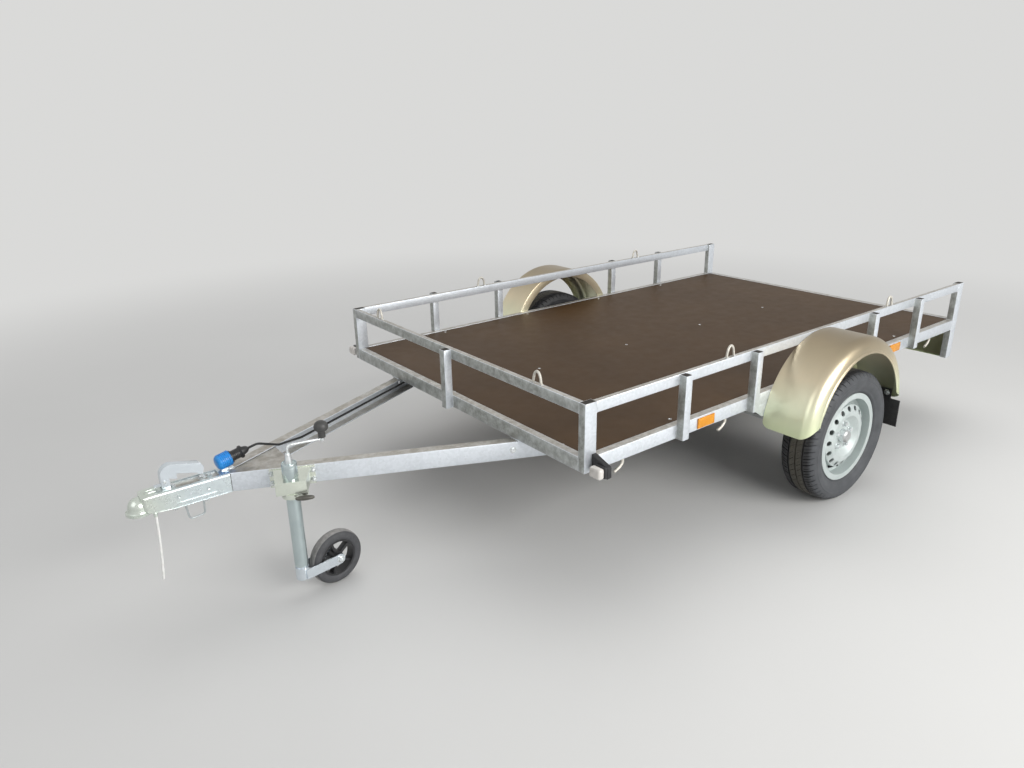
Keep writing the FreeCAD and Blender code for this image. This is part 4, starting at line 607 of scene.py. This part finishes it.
def make_stage():
    """The floor, the surround and soft studio lamps."""
    bpy.context.scene.view_settings.view_transform = "Standard"
    make_floor()
    make_world()
    make_light("key", (-0.5, 5.4, 2.8), (-0.4, 0.4, 0.4), (4.5, 2.6), 285, (1.0, 0.99, 0.97))
    make_light("fill", (4.6, 0.5, 3.0), (0.2, 0.0, 0.4), (3.0, 3.0), 30, (0.97, 0.98, 1.0))
    make_light("top", (-1.6, -1.6, 5.5), (-0.8, -0.8, 0.0), (7.0, 5.0), 190, glossy=False)


# Cord

def make_cord():
    """The thin cord that hangs from the coupling, on the route that its solid has."""
    points = [row(2.385, 0.0325, 0.3856), row(2.386, 0.0325, 0.269), row(2.399, 0.0325, 0.152)]
    data = bpy.data.curves.new("cord_line", "CURVE")
    data.dimensions = "3D"
    spline = data.splines.new("NURBS")
    spline.points.add(len(points) - 1)
    for point, place in zip(spline.points, points):
        point.co = (*place, 1.0)
    spline.order_u = 3
    spline.use_endpoint_u = True
    spline.resolution_u = 16
    data.bevel_depth = 0.004
    data.bevel_resolution = 4
    data.use_fill_caps = True
    cord = add_object("hanging_cord", data)
    data.materials.append(MATERIALS["white_cord"])
    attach(cord, "chassis")
    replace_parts(cord, "safety_cord")


# Road wheels

# Kinds of a tread row: 0 is plain, 1 and 2 run up to the shoulder, 3 is the shoulder and 4 the
# middle. A slot's depth goes with the kind.
SHOULDER, MIDDLE = 3, 4
SLOT_DEPTHS = (0.0, 0.0012, 0.0028, 0.0055, 0.0)
# The tread repeats by pitches, and slots and sipes lie at steps of each pitch
PITCHES = 60
PITCH_STEPS = (0.0, 0.03, 0.135, 0.165, 0.33, 0.48, 0.51, 0.555, 0.585, 0.8)
SLOT_STEPS = (1, 2)
SIPE_STEPS = (6, 7)


def crown_radius(y):
    """The tread's radius at a place across its width."""
    return 0.2729 - 0.0022 * (abs(y) / 0.056) ** 2.2


def tyre_rows():
    """The tyre's section from one bead round the tread to the other.

    Each row holds its place across, its radius, how deep it lies in a groove, and its kind.
    """
    side = mm([(54.5, 168), (56.3, 184), (59.8, 188.5), (65.2, 193.5), (66.8, 197.5), (67.2, 200),
               (70.5, 206), (74.2, 213), (76.3, 221.5), (77.2, 230), (76.9, 236.5), (77.5, 237.8),
               (77.3, 239.6), (76.2, 240.5), (75, 246.5), (72.8, 252), (70, 257.2), (66.8, 261.8),
               (63.2, 265.5), (59.5, 268.2)])
    kinds = [0] * 15 + [1, 2] + [SHOULDER] * 3
    rows = [(y, r, 0.0, kind) for (y, r), kind in zip(side, kinds)]
    for y in (0.054, 0.047, 0.04, 0.035):
        rows.append((y, crown_radius(y), 0.0, SHOULDER))
    for y, deep in ((0.034, 0.0), (0.0332, 0.0065), (0.0282, 0.0065), (0.0274, 0.0)):
        rows.append((y, crown_radius(y), deep, 0))
    for y in (0.0262, 0.0205, 0.0145, 0.0085, 0.0035):
        rows.append((y, crown_radius(y), 0.0, MIDDLE))
    for y, deep in ((0.0026, 0.0), (0.0019, 0.0055)):
        rows.append((y, crown_radius(y), deep, 0))
    return rows + [(-y, r, deep, kind) for y, r, deep, kind in reversed(rows)]


def tyre_piece(name, side, body, replaced):
    """A road tyre with slots in its shoulders and sipes in its ribs."""
    bm = bmesh.new()
    centre = Vector((WHEEL_X, side * WHEEL_Y, TYRE_RADIUS))
    rings = []
    for y, radius, deep, kind in tyre_rows():
        ring = []
        lean = 0.0
        if 0 < kind <= SHOULDER:
            lean = 0.35 * (abs(y) - 0.036) / 0.03
        if kind == MIDDLE:
            lean = 0.75 * y / 0.026
        for pitch in range(PITCHES):
            size = 1.0 + 0.1 * math.sin(pitch * 2.4)
            for step, share in enumerate(PITCH_STEPS):
                cut = deep
                if step in SLOT_STEPS:
                    cut += SLOT_DEPTHS[kind]
                if kind == MIDDLE and step in SIPE_STEPS:
                    cut += 0.003
                if kind == SHOULDER and step in SIPE_STEPS and abs(y) < 0.06:
                    cut += 0.0022
                shift = 0.5 if y < 0 else 0.0
                spoke = spoke_at(360 * (pitch + share * size + lean + shift) / PITCHES)
                ring.append(bm.verts.new(centre + spoke * (radius - cut) + Vector((0, y, 0))))
        rings.append(ring)
    join_rings(bm, rings + [rings[0]], close_ends=False)
    piece(name, bm, "tyre", body, angle=28, replaced=replaced)


def wheel_trim(name, side, body):
    """Bolts, cap and valve of a road wheel."""
    centre = Vector((WHEEL_X, side * WHEEL_Y, TYRE_RADIUS))
    out = Vector((0, side, 0))
    face = 0.034
    bolt_circle = 0.05
    bm = bmesh.new()
    for i in range(5):
        place = centre + spoke_at(72 * i + 20) * bolt_circle + out * face
        lathe(bm, mm([(12.5, 0), (12.5, 2), (10, 3.5)]), place, out, 20)
        hexagon(bm, place + out * 0.003, out, 0.0098, 0.012)
    piece(name + "_bolts", bm, "cap_zinc", body, slot="hub_steel")
    cap = mm([(26.8, 32), (27.2, 50), (26.2, 54.5), (23.5, 57.2), (18.5, 58.5), (18, 57),
              (0, 57)])
    turned(name + "_cap", "cap_zinc", cap, centre, out, 40, body, slot="hub_steel")
    spoke = spoke_at(-78)
    base = centre + spoke * 0.144 + out * 0.014
    lean = (out * 0.86 - spoke * 0.5).normalized()
    valve = mm([(6.2, 0), (5.8, 10), (4.6, 13), (4.2, 30), (4.8, 31), (4.8, 39), (3, 41)])
    turned(name + "_valve", "black_rubber", valve, base, lean, 16, body)


# Mudguards

def guard_look(name, side, replaced):
    """A pressed half-round guard with a rounded shoulder, a stiffening bead and a rolled edge."""
    y_in, y_out = HALF_WIDTH, HALF_WIDTH + GUARD_WIDTH
    crown_end = y_out - GUARD_SHOULDER
    crown_start = y_in + 0.004
    edge = GUARD_RADIUS - GUARD_SHOULDER
    section = [(GUARD_RADIUS - 0.042, y_in), (GUARD_RADIUS - 0.004, y_in),
               (GUARD_RADIUS - 0.0012, y_in + 0.0012), (GUARD_RADIUS, crown_start)]
    section += [(GUARD_RADIUS, crown_start + (crown_end - y_in - 0.008) * i / 5)
                for i in range(1, 6)]
    for angle in angles(12):
        section.append((edge + GUARD_SHOULDER * math.cos(angle),
                        crown_end + 0.0452 * math.sin(angle)))
    section += [(edge - inward, crown_end + outward) for inward, outward in
                mm([(1, 47), (3, 47.8), (6, 47.8), (8, 46.8), (10, 46.2)])]
    centre = Vector((WHEEL_X, 0, GUARD_HEIGHT))
    bm = bmesh.new()
    rows = []
    steps = 120
    for i in range(steps + 1):
        turn = spoke_at(-4 + 188 * i / steps)
        rows.append([bm.verts.new(centre + turn * radius + Vector((0, side * y, 0)))
                     for radius, y in section])
    for low, high in zip(rows, rows[1:]):
        for i in range(len(section) - 1):
            bm.faces.new((low[i], low[i + 1], high[i + 1], high[i]))
    # Cuts that round the lower corners: the way outward, the corner's place and radius, the cuts
    for way, edge_y, corner, cuts in ((1, y_out, 0.055, angles(12)),
                                      (-1, y_in, 0.03, angles(9)[1:-1])):
        hinge = Vector((0, side * (edge_y - way * corner), GUARD_CUT + corner))
        for angle in cuts:
            outward = Vector((0, side * way * math.cos(angle), -math.sin(angle)))
            bmesh.ops.bisect_plane(bm, geom=bm.verts[:] + bm.edges[:] + bm.faces[:],
                                   plane_co=hinge + outward * corner, plane_no=outward,
                                   clear_outer=True)
    bmesh.ops.recalc_face_normals(bm, faces=bm.faces)
    top = max(bm.faces, key=lambda face: face.calc_center_median().z)
    if top.normal.z < 0:
        bmesh.ops.reverse_faces(bm, faces=bm.faces[:])
    bm.normal_update()
    bmesh.ops.solidify(bm, geom=bm.faces[:], thickness=GUARD_SHEET)
    guard = link_object(name, finish_mesh(name, bm, 40), "galvanised_sheet", "chassis")
    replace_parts(guard, *replaced)

    bm = bmesh.new()
    outer = Vector((0, side * (y_out - 0.0042), 0))
    path = [centre + spoke_at(13 + 154 * i / 96) * (edge - 0.0105) + outer for i in range(97)]
    tube(bm, path, tapered(0.0036, 12, 0.25))
    piece(name + "_roll", bm, "galvanised_sheet", angle=60)


# Fasteners and welds

def weld_beads():
    """Short fillet welds where posts, rails and beams meet."""
    rng = random.Random(RNG_SEED)
    bm = bmesh.new()

    def bead(start, end, size=0.0024):
        start, end = Vector(start), Vector(end)
        count = max(4, int((end - start).length / 0.0035))
        points = [start.lerp(end, i / count)
                  + Vector([rng.uniform(-0.0003, 0.0003) for _ in range(3)])
                  for i in range(count + 1)]
        sizes = [size * rng.uniform(0.82, 1.12) for _ in range(count + 1)]
        tube(bm, points, lambda share: sizes[min(count, int(share * count + 0.5))], 7)

    def upright_beads(x, y):
        """Beads beside a post, along the beam's face and the rail's."""
        bead(row(x, y, BEAM_BOTTOM + 0.003), row(x, y, DECK_TOP - 0.002))
        bead(row(x, y, RAIL_BOTTOM + 0.002), row(x, y, RAIL_TOP - 0.003), 0.002)

    def foot_beads(place, reach, across):
        """Two short beads along a wire's foot, one on each of its sides."""
        bead(place - reach - across, place + reach - across, 0.0022)
        bead(place - reach + across, place + reach + across, 0.0022)

    half = POST_SIZE / 2
    for side in (-1, 1):
        face = side * HALF_WIDTH
        for x in SIDE_POSTS:
            upright_beads(x - half, face)
            upright_beads(x + half, face)
            bead(row(x - half, face, BEAM_BOTTOM), row(x + half, face, BEAM_BOTTOM), 0.0018)
        for end in (-1, 1):
            x = end * (HALF_LENGTH - 0.05)
            bead(row(x, side * INNER_HALF_WIDTH, DECK_TOP), row(x, face, DECK_TOP), 0.0022)
            bead(row(x, face - side * 0.019, RAIL_BOTTOM), row(x, face - side * 0.001, RAIL_BOTTOM),
                 0.0018)
        corner = (HALF_LENGTH - 0.0005, side * INNER_HALF_WIDTH)
        bead(row(*corner, BEAM_BOTTOM + 0.002), row(*corner, DECK_TOP - 0.002), 0.0018)
        bead(row(*corner, RAIL_BOTTOM), row(*corner, RAIL_TOP - 0.002), 0.0016)
    for edge in FRONT_POST:
        upright_beads(HALF_LENGTH, edge)
    foot, top = 0.021, RAIL_TOP + 0.0005
    reach, across = 0.007, 0.0035
    for side in (-1, 1):
        for x in SIDE_EYES:
            for end in (-foot, foot):
                foot_beads(row(x + end, side * (HALF_WIDTH - EYE_INSET), top),
                           Vector((reach, 0, 0)), Vector((0, across, 0)))
        for end in (-foot, foot):
            foot_beads(row(HALF_LENGTH - EYE_INSET, side * FRONT_EYE + end, top),
                       Vector((0, reach, 0)), Vector((across, 0, 0)))
    piece("weld_beads", bm, "weld", slot="galvanised_tube", angle=80)


def slot_outline(reach, radius, steps):
    """Pairs (along, across) round a slot, whose round ends lie at the reach from its middle."""
    return [(math.copysign(reach, math.cos(angle)) + radius * math.cos(angle),
             radius * math.sin(angle)) for angle in angles(steps, 2 * math.pi)[:-1]]


def curve_points(corners, steps):
    """Places along a smooth curve from the first to the last of four corners."""
    a, b, c, d = (Vector(corner) for corner in corners)
    places = []
    for step in range(steps + 1):
        t = step / steps
        s = 1 - t
        places.append(a * s ** 3 + b * 3 * t * s ** 2 + c * 3 * t * t * s + d * t ** 3)
    return places


def rope_eye(bm, middle, along):
    """A wire loop with bowed legs that stands on a rail."""
    leg = curve_points(mm([(-20, 3), (-17.5, 29), (-10.5, 42.2), (0, 42.2)]), 10)
    arch = leg + [Vector((-place.x, place.y)) for place in reversed(leg[:-1])]
    arch = [Vector((-0.024, 0.003))] + arch + [Vector((0.024, 0.003))]
    tube(bm, [middle + along * place.x + UP * place.y for place in arch], 0.0046, 12)


def rope_wires():
    """Rope eyes on the rails and hooks under the side beams, of smoothly bent wire."""
    sideways, forward = Vector((0, 1, 0)), Vector((1, 0, 0))
    made = {name: bmesh.new() for name in
            ("left_rope_eyes", "right_rope_eyes", "front_rope_eyes", "rope_hooks")}
    bend = curve_points(mm([(7, 0), (-19, -16), (1, -35), (33, -45)]), 16)
    for name, side in (("right_rope_eyes", -1), ("left_rope_eyes", 1)):
        for x in SIDE_EYES:
            rope_eye(made[name], row(x, side * (HALF_WIDTH - EYE_INSET), RAIL_TOP), forward)
        rope_eye(made["front_rope_eyes"], row(HALF_LENGTH - EYE_INSET, side * FRONT_EYE, RAIL_TOP),
                 sideways)
        for x in HOOKS:
            top = row(x, side * (HALF_WIDTH - HOOK_INSET), BEAM_BOTTOM + 0.001)
            tube(made["rope_hooks"], [top + forward * place.x + UP * place.y for place in bend],
                 0.0056, 12)
    for name, bm in made.items():
        piece(name + "_look", bm, "dull_zinc", slot="galvanised_tube", angle=60, replaced=[name])


def board_screws():
    """Countersunk screws that hold the board down."""
    bm = bmesh.new()
    spots = [(x, y) for x in (0.82, 0.296, -0.228, -0.752) for y in (-0.726, 0.004, 0.726)]
    spots += [(x, y) for x in (-1.253, 1.253) for y in (-0.646, 0.004, 0.646)]
    for x, y in spots:
        lathe(bm, mm([(6.2, -0.4), (6, 0.3), (3.4, 0.4), (3, -0.6), (0, -0.6)]),
              row(x, y, BOARD_TOP), UP, 18)
    piece("board_screws", bm, "cap_zinc", slot="zinc_parts")


def painted_shade_openings():
    """Painted shade: dark sheets in the open tops of the posts, and dark slots on the axle rails'
    outer faces, where the tubes' hollow insides are.
    """
    bm = bmesh.new()
    wall, lift = 0.003, 0.0003

    # Each end is a thin dark sheet just below and above the rail's top: painted shade inside the
    # tube
    def end(x0, x1, y0, y1):
        block(bm, row(x0 + wall, y0 + wall, RAIL_TOP - lift),
              row(x1 - wall, y1 - wall, RAIL_TOP + lift))

    half = POST_SIZE / 2
    for side in (-1, 1):
        y0, y1 = sorted((side * HALF_WIDTH, side * (HALF_WIDTH + POST_SIZE)))
        for x in SIDE_POSTS:
            end(x - half, x + half, y0, y1)
        y0, y1 = sorted((side * INNER_HALF_WIDTH, side * HALF_WIDTH))
        for far in (-1, 1):
            x0, x1 = sorted((far * (HALF_LENGTH - 0.05), far * HALF_LENGTH))
            end(x0, x1, y0, y1)
        for x in (0.4, -0.37):
            slot = [row(x + along, side * HALF_WIDTH, BEAM_BOTTOM - 0.016 + rise)
                    for along, rise in slot_outline(0.008, 0.0045, 24)]
            join_rings(bm, [[bm.verts.new(place + Vector((0, side * out, 0))) for place in slot]
                            for out in (-0.0005, 0.0003)])
    end(HALF_LENGTH, HALF_LENGTH + POST_SIZE, *FRONT_POST)
    piece("painted_shade_openings", bm, "painted_shade_and_seam", slot="dark_zinc")


def member_out(side):
    """The direction straight out of a drawbar member's outer face."""
    angle = math.atan(MEMBER_SLOPE)
    return Vector((math.sin(angle), side * math.cos(angle), 0))


def member_point(side, x, z):
    """A place on a drawbar member's outer face."""
    return row(x, side * (MEMBER_AT_FRAME - MEMBER_SLOPE * (x - HALF_LENGTH)), z)


def chassis_bolts():
    """Bolts and nuts of the coupling, the guards, the drawbar crossings and the axle."""
    # Radius and height, the washer's radius, and the length and radius of a thread's end
    coupling_nut, coupling_head = (0.011, 0.0105, 0.0125, 0.014, 0.0058), (0.0105, 0.0078, 0.0125)
    crossing_nut = (0.0095, 0.009, 0.012, 0.008, 0.005)
    axle_nut = (0.0095, 0.009, 0.013, 0.007, 0.005)
    frame_head, guard_head = (0.008, 0.006, 0.012), (0.0082, 0.0065, 0.0125)
    flap_head = (0.0075, 0.006, 0.0125)
    bm = bmesh.new()
    for x in (2.226, 2.319):
        hexagon(bm, row(x, 0, MEMBER_BOTTOM + 0.005), -UP, *coupling_nut)
        hexagon(bm, row(x, 0, MEMBER_TOP - 0.005), UP, *coupling_head)
    for side in (-1, 1):
        for x in (1.265, 0.9143):
            y = abs(member_point(side, x, 0.0).y) - 0.024
            hexagon(bm, row(x, side * y, MEMBER_TOP - 0.005), -UP, *crossing_nut)
        hexagon(bm, member_point(side, 1.293, 0.416), member_out(side), *frame_head)
        middle = Vector((WHEEL_X, side * (HALF_WIDTH + GUARD_SHEET), GUARD_HEIGHT))
        for angle in (28, 90, 152):
            place = middle + spoke_at(angle) * (GUARD_RADIUS - 0.021)
            if BEAM_BOTTOM < place.z < DECK_TOP or RAIL_BOTTOM < place.z < RAIL_TOP:
                hexagon(bm, place, (0, side, 0), *guard_head)
        for y in (0.835, 0.925):
            hexagon(bm, (WHEEL_X - 0.3302, side * y, GUARD_CUT + 0.02), (1, 0, 0), *flap_head)
        for step in (-0.045, 0.045):
            hexagon(bm, row(0.135 + step, side * 0.755, BEAM_BOTTOM - 0.059), -UP, *axle_nut)
    piece("chassis_bolts", bm, "cap_zinc", slot="zinc_parts")


# Coupling

def coupling_trim():
    """Beads, dimples and the slot's rim on the coupling's housing, its seam and small bolts."""
    mesh = NODES["coupling_body"].data
    tree = BVHTree.FromPolygons([vert.co for vert in mesh.vertices],
                                [face.vertices for face in mesh.polygons])

    def flank(side, x, z):
        """The place and the normal on the housing's side."""
        return tree.ray_cast(row(x, side * 0.12, z), Vector((0, -side, 0)))[:2]

    bm = bmesh.new()
    dimple = mm([(6.8, -1), (6.2, 1), (4.6, 1.2), (3.2, 0.3), (0, 0.2)])
    for side in (-1, 1):
        for x in (2.2186, 2.3098):
            lathe(bm, dimple, *flank(side, x, 0.417), 20)
        points = []
        for step in range(25):
            place, normal = flank(side, 2.193 + 0.127 * step / 24, 0.397)
            points.append(place + normal * 0.0003)
        tube(bm, points, tapered(0.0024, 8, 0.2))
    outline = slot_outline(0.0085, 0.01, 48)
    points = []
    for along, across in outline + outline[:1]:
        place, normal = tree.ray_cast(row(2.3825 + along, across, 0.6), -UP)[:2]
        points.append(place + normal * 0.0005)
    tube(bm, points, 0.0019)
    for side in (-1, 1):
        points = []
        for step in range(33):
            x = 2.15 + 0.235 * step / 32
            rise = 0.01 * max(0.0, (x - 2.33) / 0.093)
            points.append(flank(side, x, MEMBER_BOTTOM + 0.0018 + rise)[0])
        tube(bm, points, tapered(0.0018, 12, 0.2))
    lip = mm([(39.8, 386.2), (40, 388), (39.4, 390), (36.5, 392.5), (34, 396), (32.5, 401),
              (31.6, 406), (30, 406), (30, 386.2)])
    lathe(bm, lip, row(2.423, 0, 0), UP, 64, closed=True)
    hexagon(bm, row(2.204, 0.004, MEMBER_TOP - 0.005), UP, 0.007, 0.009, 0.0095)
    lathe(bm, mm([(6.2, 0), (6.2, 10), (5, 11.8)]), row(2.3855, 0.0325, 0.3742), UP, 18)
    piece("coupling_trim", bm, "coupling_zinc", slot="zinc_parts")

    bm = bmesh.new()
    for side in (-1, 1):
        y0, y1 = sorted((side * 0.034, side * 0.0353))
        block(bm, row(2.1464, y0, MEMBER_BOTTOM + 0.002), row(2.1477, y1, MEMBER_TOP - 0.003))
    piece("coupling_seam", bm, "painted_shade_and_seam", slot="dark_zinc")

    pin = mm([(3, -17.6), (5.2, -17), (5.6, -15.5), (5.6, 15.5), (5.2, 17), (3, 17.6)])
    turned("lever_pin", "cap_zinc", pin, row(2.34, 0, 0.469), (0, 1, 0), 20,
           slot="zinc_parts")


def holder_and_plug():
    """The ribbed blue holder with its rounded end, and the plug's ribbed grip behind it."""
    tilt, turn = math.radians(10), math.radians(6)
    back = Vector((-math.cos(turn) * math.cos(tilt), -math.sin(turn) * math.cos(tilt),
                   math.sin(tilt)))
    profile = mm([(0, -24), (11, -23.8), (17.5, -22.6), (21.5, -20.2), (24, -16.8)])
    for step in range(6):
        start = 6 * step - 14
        profile += mm([(25.6, start), (26, start + 0.8), (26, start + 3.4), (25.6, start + 4),
                       (24, start + 4.4), (24, start + 5.7)])
    profile += mm([(26, 22.2), (26, 23.2), (25.2, 24), (22.8, 24), (22, 23.4), (22, 10)])
    turned("holder_look", "blue_plastic", profile, HOLDER, back, 48, replaced=["plug_holder"])

    profile = mm([(0, 11), (21.8, 11), (21.8, 29.6), (21, 30.4), (17.8, 30.8)])
    for step in range(5):
        start = 5.2 * step + 32
        profile += mm([(17.8, start), (17, start + 1), (17, start + 3), (17.8, start + 4)])
    profile += mm([(18.6, 60), (21.2, 61.2), (21.8, 62.2), (21.8, 67.2), (21, 68.2), (15, 69),
                   (14, 76), (11.5, 84), (7.5, 90), (0, 90)])
    turned("plug_look", "black_plastic", profile, HOLDER, back, 40, replaced=["plug"])


# Jockey stand

def jockey_tube():
    """The outer tube with its bore and its collar, the crank's cone and rod, and the knob."""
    profile = mm([(20, 126.2), (20.6, 125), (21.9, 125), (22.5, 125.6), (22.5, 450),
                  (24.4, 450.2), (25, 451.2), (25, 498.5), (24.2, 500), (21.8, 500),
                  (21.2, 498.4), (12, 498.4), (12, 495), (20, 495)])
    turned("jockey_tube_look", "tube_zinc", profile, JOCKEY, UP, 48, "jockey_leg", closed=True,
           slot="zinc_parts", replaced=["jockey_outer_tube"])

    bm = bmesh.new()
    lathe(bm, mm([(12.8, 496), (12.8, 502), (11.8, 505), (9.2, 526), (7.8, 532), (7, 533),
                  (5.2, 533.5)]), JOCKEY, UP, 32)
    top = Vector((JOCKEY.x, JOCKEY.y, CRANK_GRIP.z))
    reach = (CRANK_GRIP - top).normalized()
    bend = 0.016
    middle = top + reach * bend - UP * bend
    points = [JOCKEY + UP * 0.52]
    for angle in angles(10):
        points.append(middle - reach * bend * math.cos(angle) + UP * bend * math.sin(angle))
    points.append(CRANK_GRIP + reach * 0.003)
    tube(bm, points, 0.0045, 16)
    lathe(bm, mm([(4, -6.2), (7.2, -5.6), (7.8, -4.5), (7.8, 4.5), (0, 4.6)]),
          CRANK_GRIP, UP, 20)
    piece("crank_look", bm, "cap_zinc", "jockey_leg", slot="zinc_parts", replaced=["jockey_crank"])

    profile = mm([(9.5, 0), (11.6, 1.2), (12, 3), (11.9, 18), (12.6, 21), (16, 23.8), (20, 27.2),
                  (22.4, 31.2), (23, 35.2), (22.7, 40), (21.2, 45.2), (18.4, 50), (14.4, 53.8),
                  (9.2, 56.2), (4, 57), (0, 57)])
    turned("knob_look", "knob_plastic", profile, CRANK_GRIP + UP * 0.0045, UP, 40, "jockey_leg",
           slot="black_plastic", replaced=["crank_knob"])


def jockey_clamp_trim():
    """The clamp with its edges rounded, its bolts, and the oval handle of its screw."""
    bevelled_copy("jockey_clamp", "yellow_zinc", 0.0016, 0.006, 2, 40)
    out = member_out(1)
    along = Vector((-out.y, out.x, 0))
    face = JOCKEY - out * (JOCKEY_REACH - 0.006)
    bm = bmesh.new()
    for step in (-0.0665, 0.0665):
        for z in (0.396, 0.43):
            hexagon(bm, face + along * step + UP * z, out, 0.0072, 0.0062, 0.0096, 0.004, 0.004)
    piece("clamp_bolts", bm, "cap_zinc", slot="zinc_parts")

    bm = bmesh.new()
    start = JOCKEY + along * 0.04 + out * 0.009 + UP * 0.392
    lathe(bm, mm([(8.5, 0), (8.5, 3), (5, 3.6), (5, 34)]), start, out, 20)
    profile = [(0.0082 * math.sin(angle) ** 0.7, -0.03 * math.cos(angle))
               for angle in angles(16, math.pi)]
    lathe(bm, profile, start + out * 0.035, along, 24)
    piece("clamp_handle_look", bm, "dark_zinc", replaced=["clamp_handle"])


def jockey_wheel_look():
    """The solid tyre with its worn tread, the spoked rim and the fork with its axle bolt."""
    side = mm([(66.2, 18), (68.2, 19.6), (71.5, 20.8), (76, 21.7), (80.5, 22), (84.5, 21.4),
               (88.5, 19.8), (91.7, 17.2), (94, 13.8), (95.5, 9.4), (96.3, 4.8)])
    profile = side + [(0.0965, 0.0)] + [(radius, -along) for radius, along in reversed(side)]
    turned("jockey_tyre_look", "grey_rubber", profile, JOCKEY_WHEEL, JOCKEY_AXLE, 72,
           "jockey_wheel", closed=True, replaced=["jockey_tyre"])
    tread = mm([(94.1, 14.2), (94.6, 13.6), (95.9, 9.4), (96.7, 4.8)])
    profile = tread + [(0.0969, 0.0)] + [(radius, -along) for radius, along in reversed(tread)]
    profile += mm([(93.8, -14.2), (93.8, 14.2)])
    turned("jockey_tread", "worn_rubber", profile, JOCKEY_WHEEL, JOCKEY_AXLE, 72,
           "jockey_wheel", closed=True, slot="grey_rubber")

    bevelled_copy("jockey_rim", "black_plastic", 0.0012, 0.004, 2, 40)
    bevelled_copy("jockey_fork", "zinc_parts", 0.0012, 0.006, 2, 40)
    bm = bmesh.new()
    for end in (-1, 1):
        hexagon(bm, JOCKEY_WHEEL + JOCKEY_AXLE * end * 0.031, JOCKEY_AXLE * end,
                0.01, 0.0075, 0.0135, 0.003, 0.0055)
    piece("fork_bolts", bm, "cap_zinc", "jockey_fork", slot="zinc_parts")


# Lamps

def front_lamp_looks():
    """White marker lamps with rounded lenses on dark bases."""
    bases, lenses = bmesh.new(), bmesh.new()
    for side in (-1, 1):
        inner, outer = sorted((side * 0.802, side * 0.852))
        block(bases, (0.6705, inner, 0.456), (0.68, outer, 0.494))
        block(lenses, (0.68, inner + 0.0008, 0.4568), (0.7045, outer - 0.0008, 0.4932))
    rounded(bases, 0.0025)
    rounded(lenses, 0.0085, segments=5)
    piece("front_lamp_bases", bases, "black_plastic")
    piece("front_lamp_lenses", lenses, "white_lens", replaced=["front_lamps"])


def rear_lamp_looks():
    """Rear lamps: a black housing with amber, red and clear lenses side by side."""
    housing = bmesh.new()
    lenses = {"amber": bmesh.new(), "red_lens": bmesh.new(), "white_lens": bmesh.new()}
    spans = (("white_lens", 0.534, 0.576), ("red_lens", 0.578, 0.66), ("amber", 0.662, 0.716))
    for side in (-1, 1):
        inner, outer = sorted((side * 0.53, side * 0.72))
        block(housing, (-1.86, inner, 0.3305), (-1.8415, outer, 0.4265))
        for name, low, high in spans:
            first, last = sorted((side * low, side * high))
            block(lenses[name], (-1.8835, first, 0.3345), (-1.859, last, 0.4225))
    rounded(housing, 0.004, segments=3)
    piece("rear_lamp_housings", housing, "black_plastic", replaced=["rear_lamps"])
    for name, bm in lenses.items():
        rounded(bm, 0.0055, segments=4)
        piece("rear_lamp_" + name, bm, name)


make_camera()
make_stage()
make_cord()

TUBES = (
    "left_side_beam", "right_side_beam", "front_beam", "rear_beam", "cross_members",
    "front_corner_posts", "rear_corner_posts", "left_posts", "right_posts", "front_post",
    "left_rail", "right_rail", "front_rail", "axle_rails", "axle_brackets", "axle_tube",
    "left_drawbar_member", "right_drawbar_member", "drawbar_plates",
)
for node in TUBES:
    bevelled_copy(node, "galvanised_tube")

# Smaller pieces shown with rounded edges
TRIM = (
    # node, material, width, shortest edge
    ("coupling_lever", "zinc_parts", 0.0022, 0.006),
    ("front_lamp_arms", "black_rubber", 0.003, 0.01),
    ("side_reflectors", "amber", 0.0016, 0.01),
    ("rear_lamp_panel", "galvanised_sheet", 0.001, 0.01),
    ("mudflaps", "black_rubber", 0.0015, 0.01),
    ("plug_bracket", "zinc_parts", 0.001, 0.006),
)
for node, material, width, shortest in TRIM:
    bevelled_copy(node, material, width, shortest, 3, 40)

for side_name, side_sign in (("left", 1), ("right", -1)):
    wheel_body = side_name + "_wheel"
    tyre_piece(side_name + "_road_tyre", side_sign, wheel_body, [side_name + "_tyre"])
    wheel_trim(side_name + "_wheel_trim", side_sign, wheel_body)
    guard_look(side_name + "_guard_sheet", side_sign, [side_name + "_mudguard"])

weld_beads()
rope_wires()
board_screws()
chassis_bolts()
painted_shade_openings()
coupling_trim()
holder_and_plug()
jockey_tube()
jockey_clamp_trim()
jockey_wheel_look()
front_lamp_looks()
rear_lamp_looks()

LOOKS = {"coupling_body": "coupling_zinc", "coupling_bail": "wire_zinc"}
for entry in frame["record"]["subparts"]:
    paint(entry["node"], LOOKS.get(entry["node"], entry["material_slot"]))
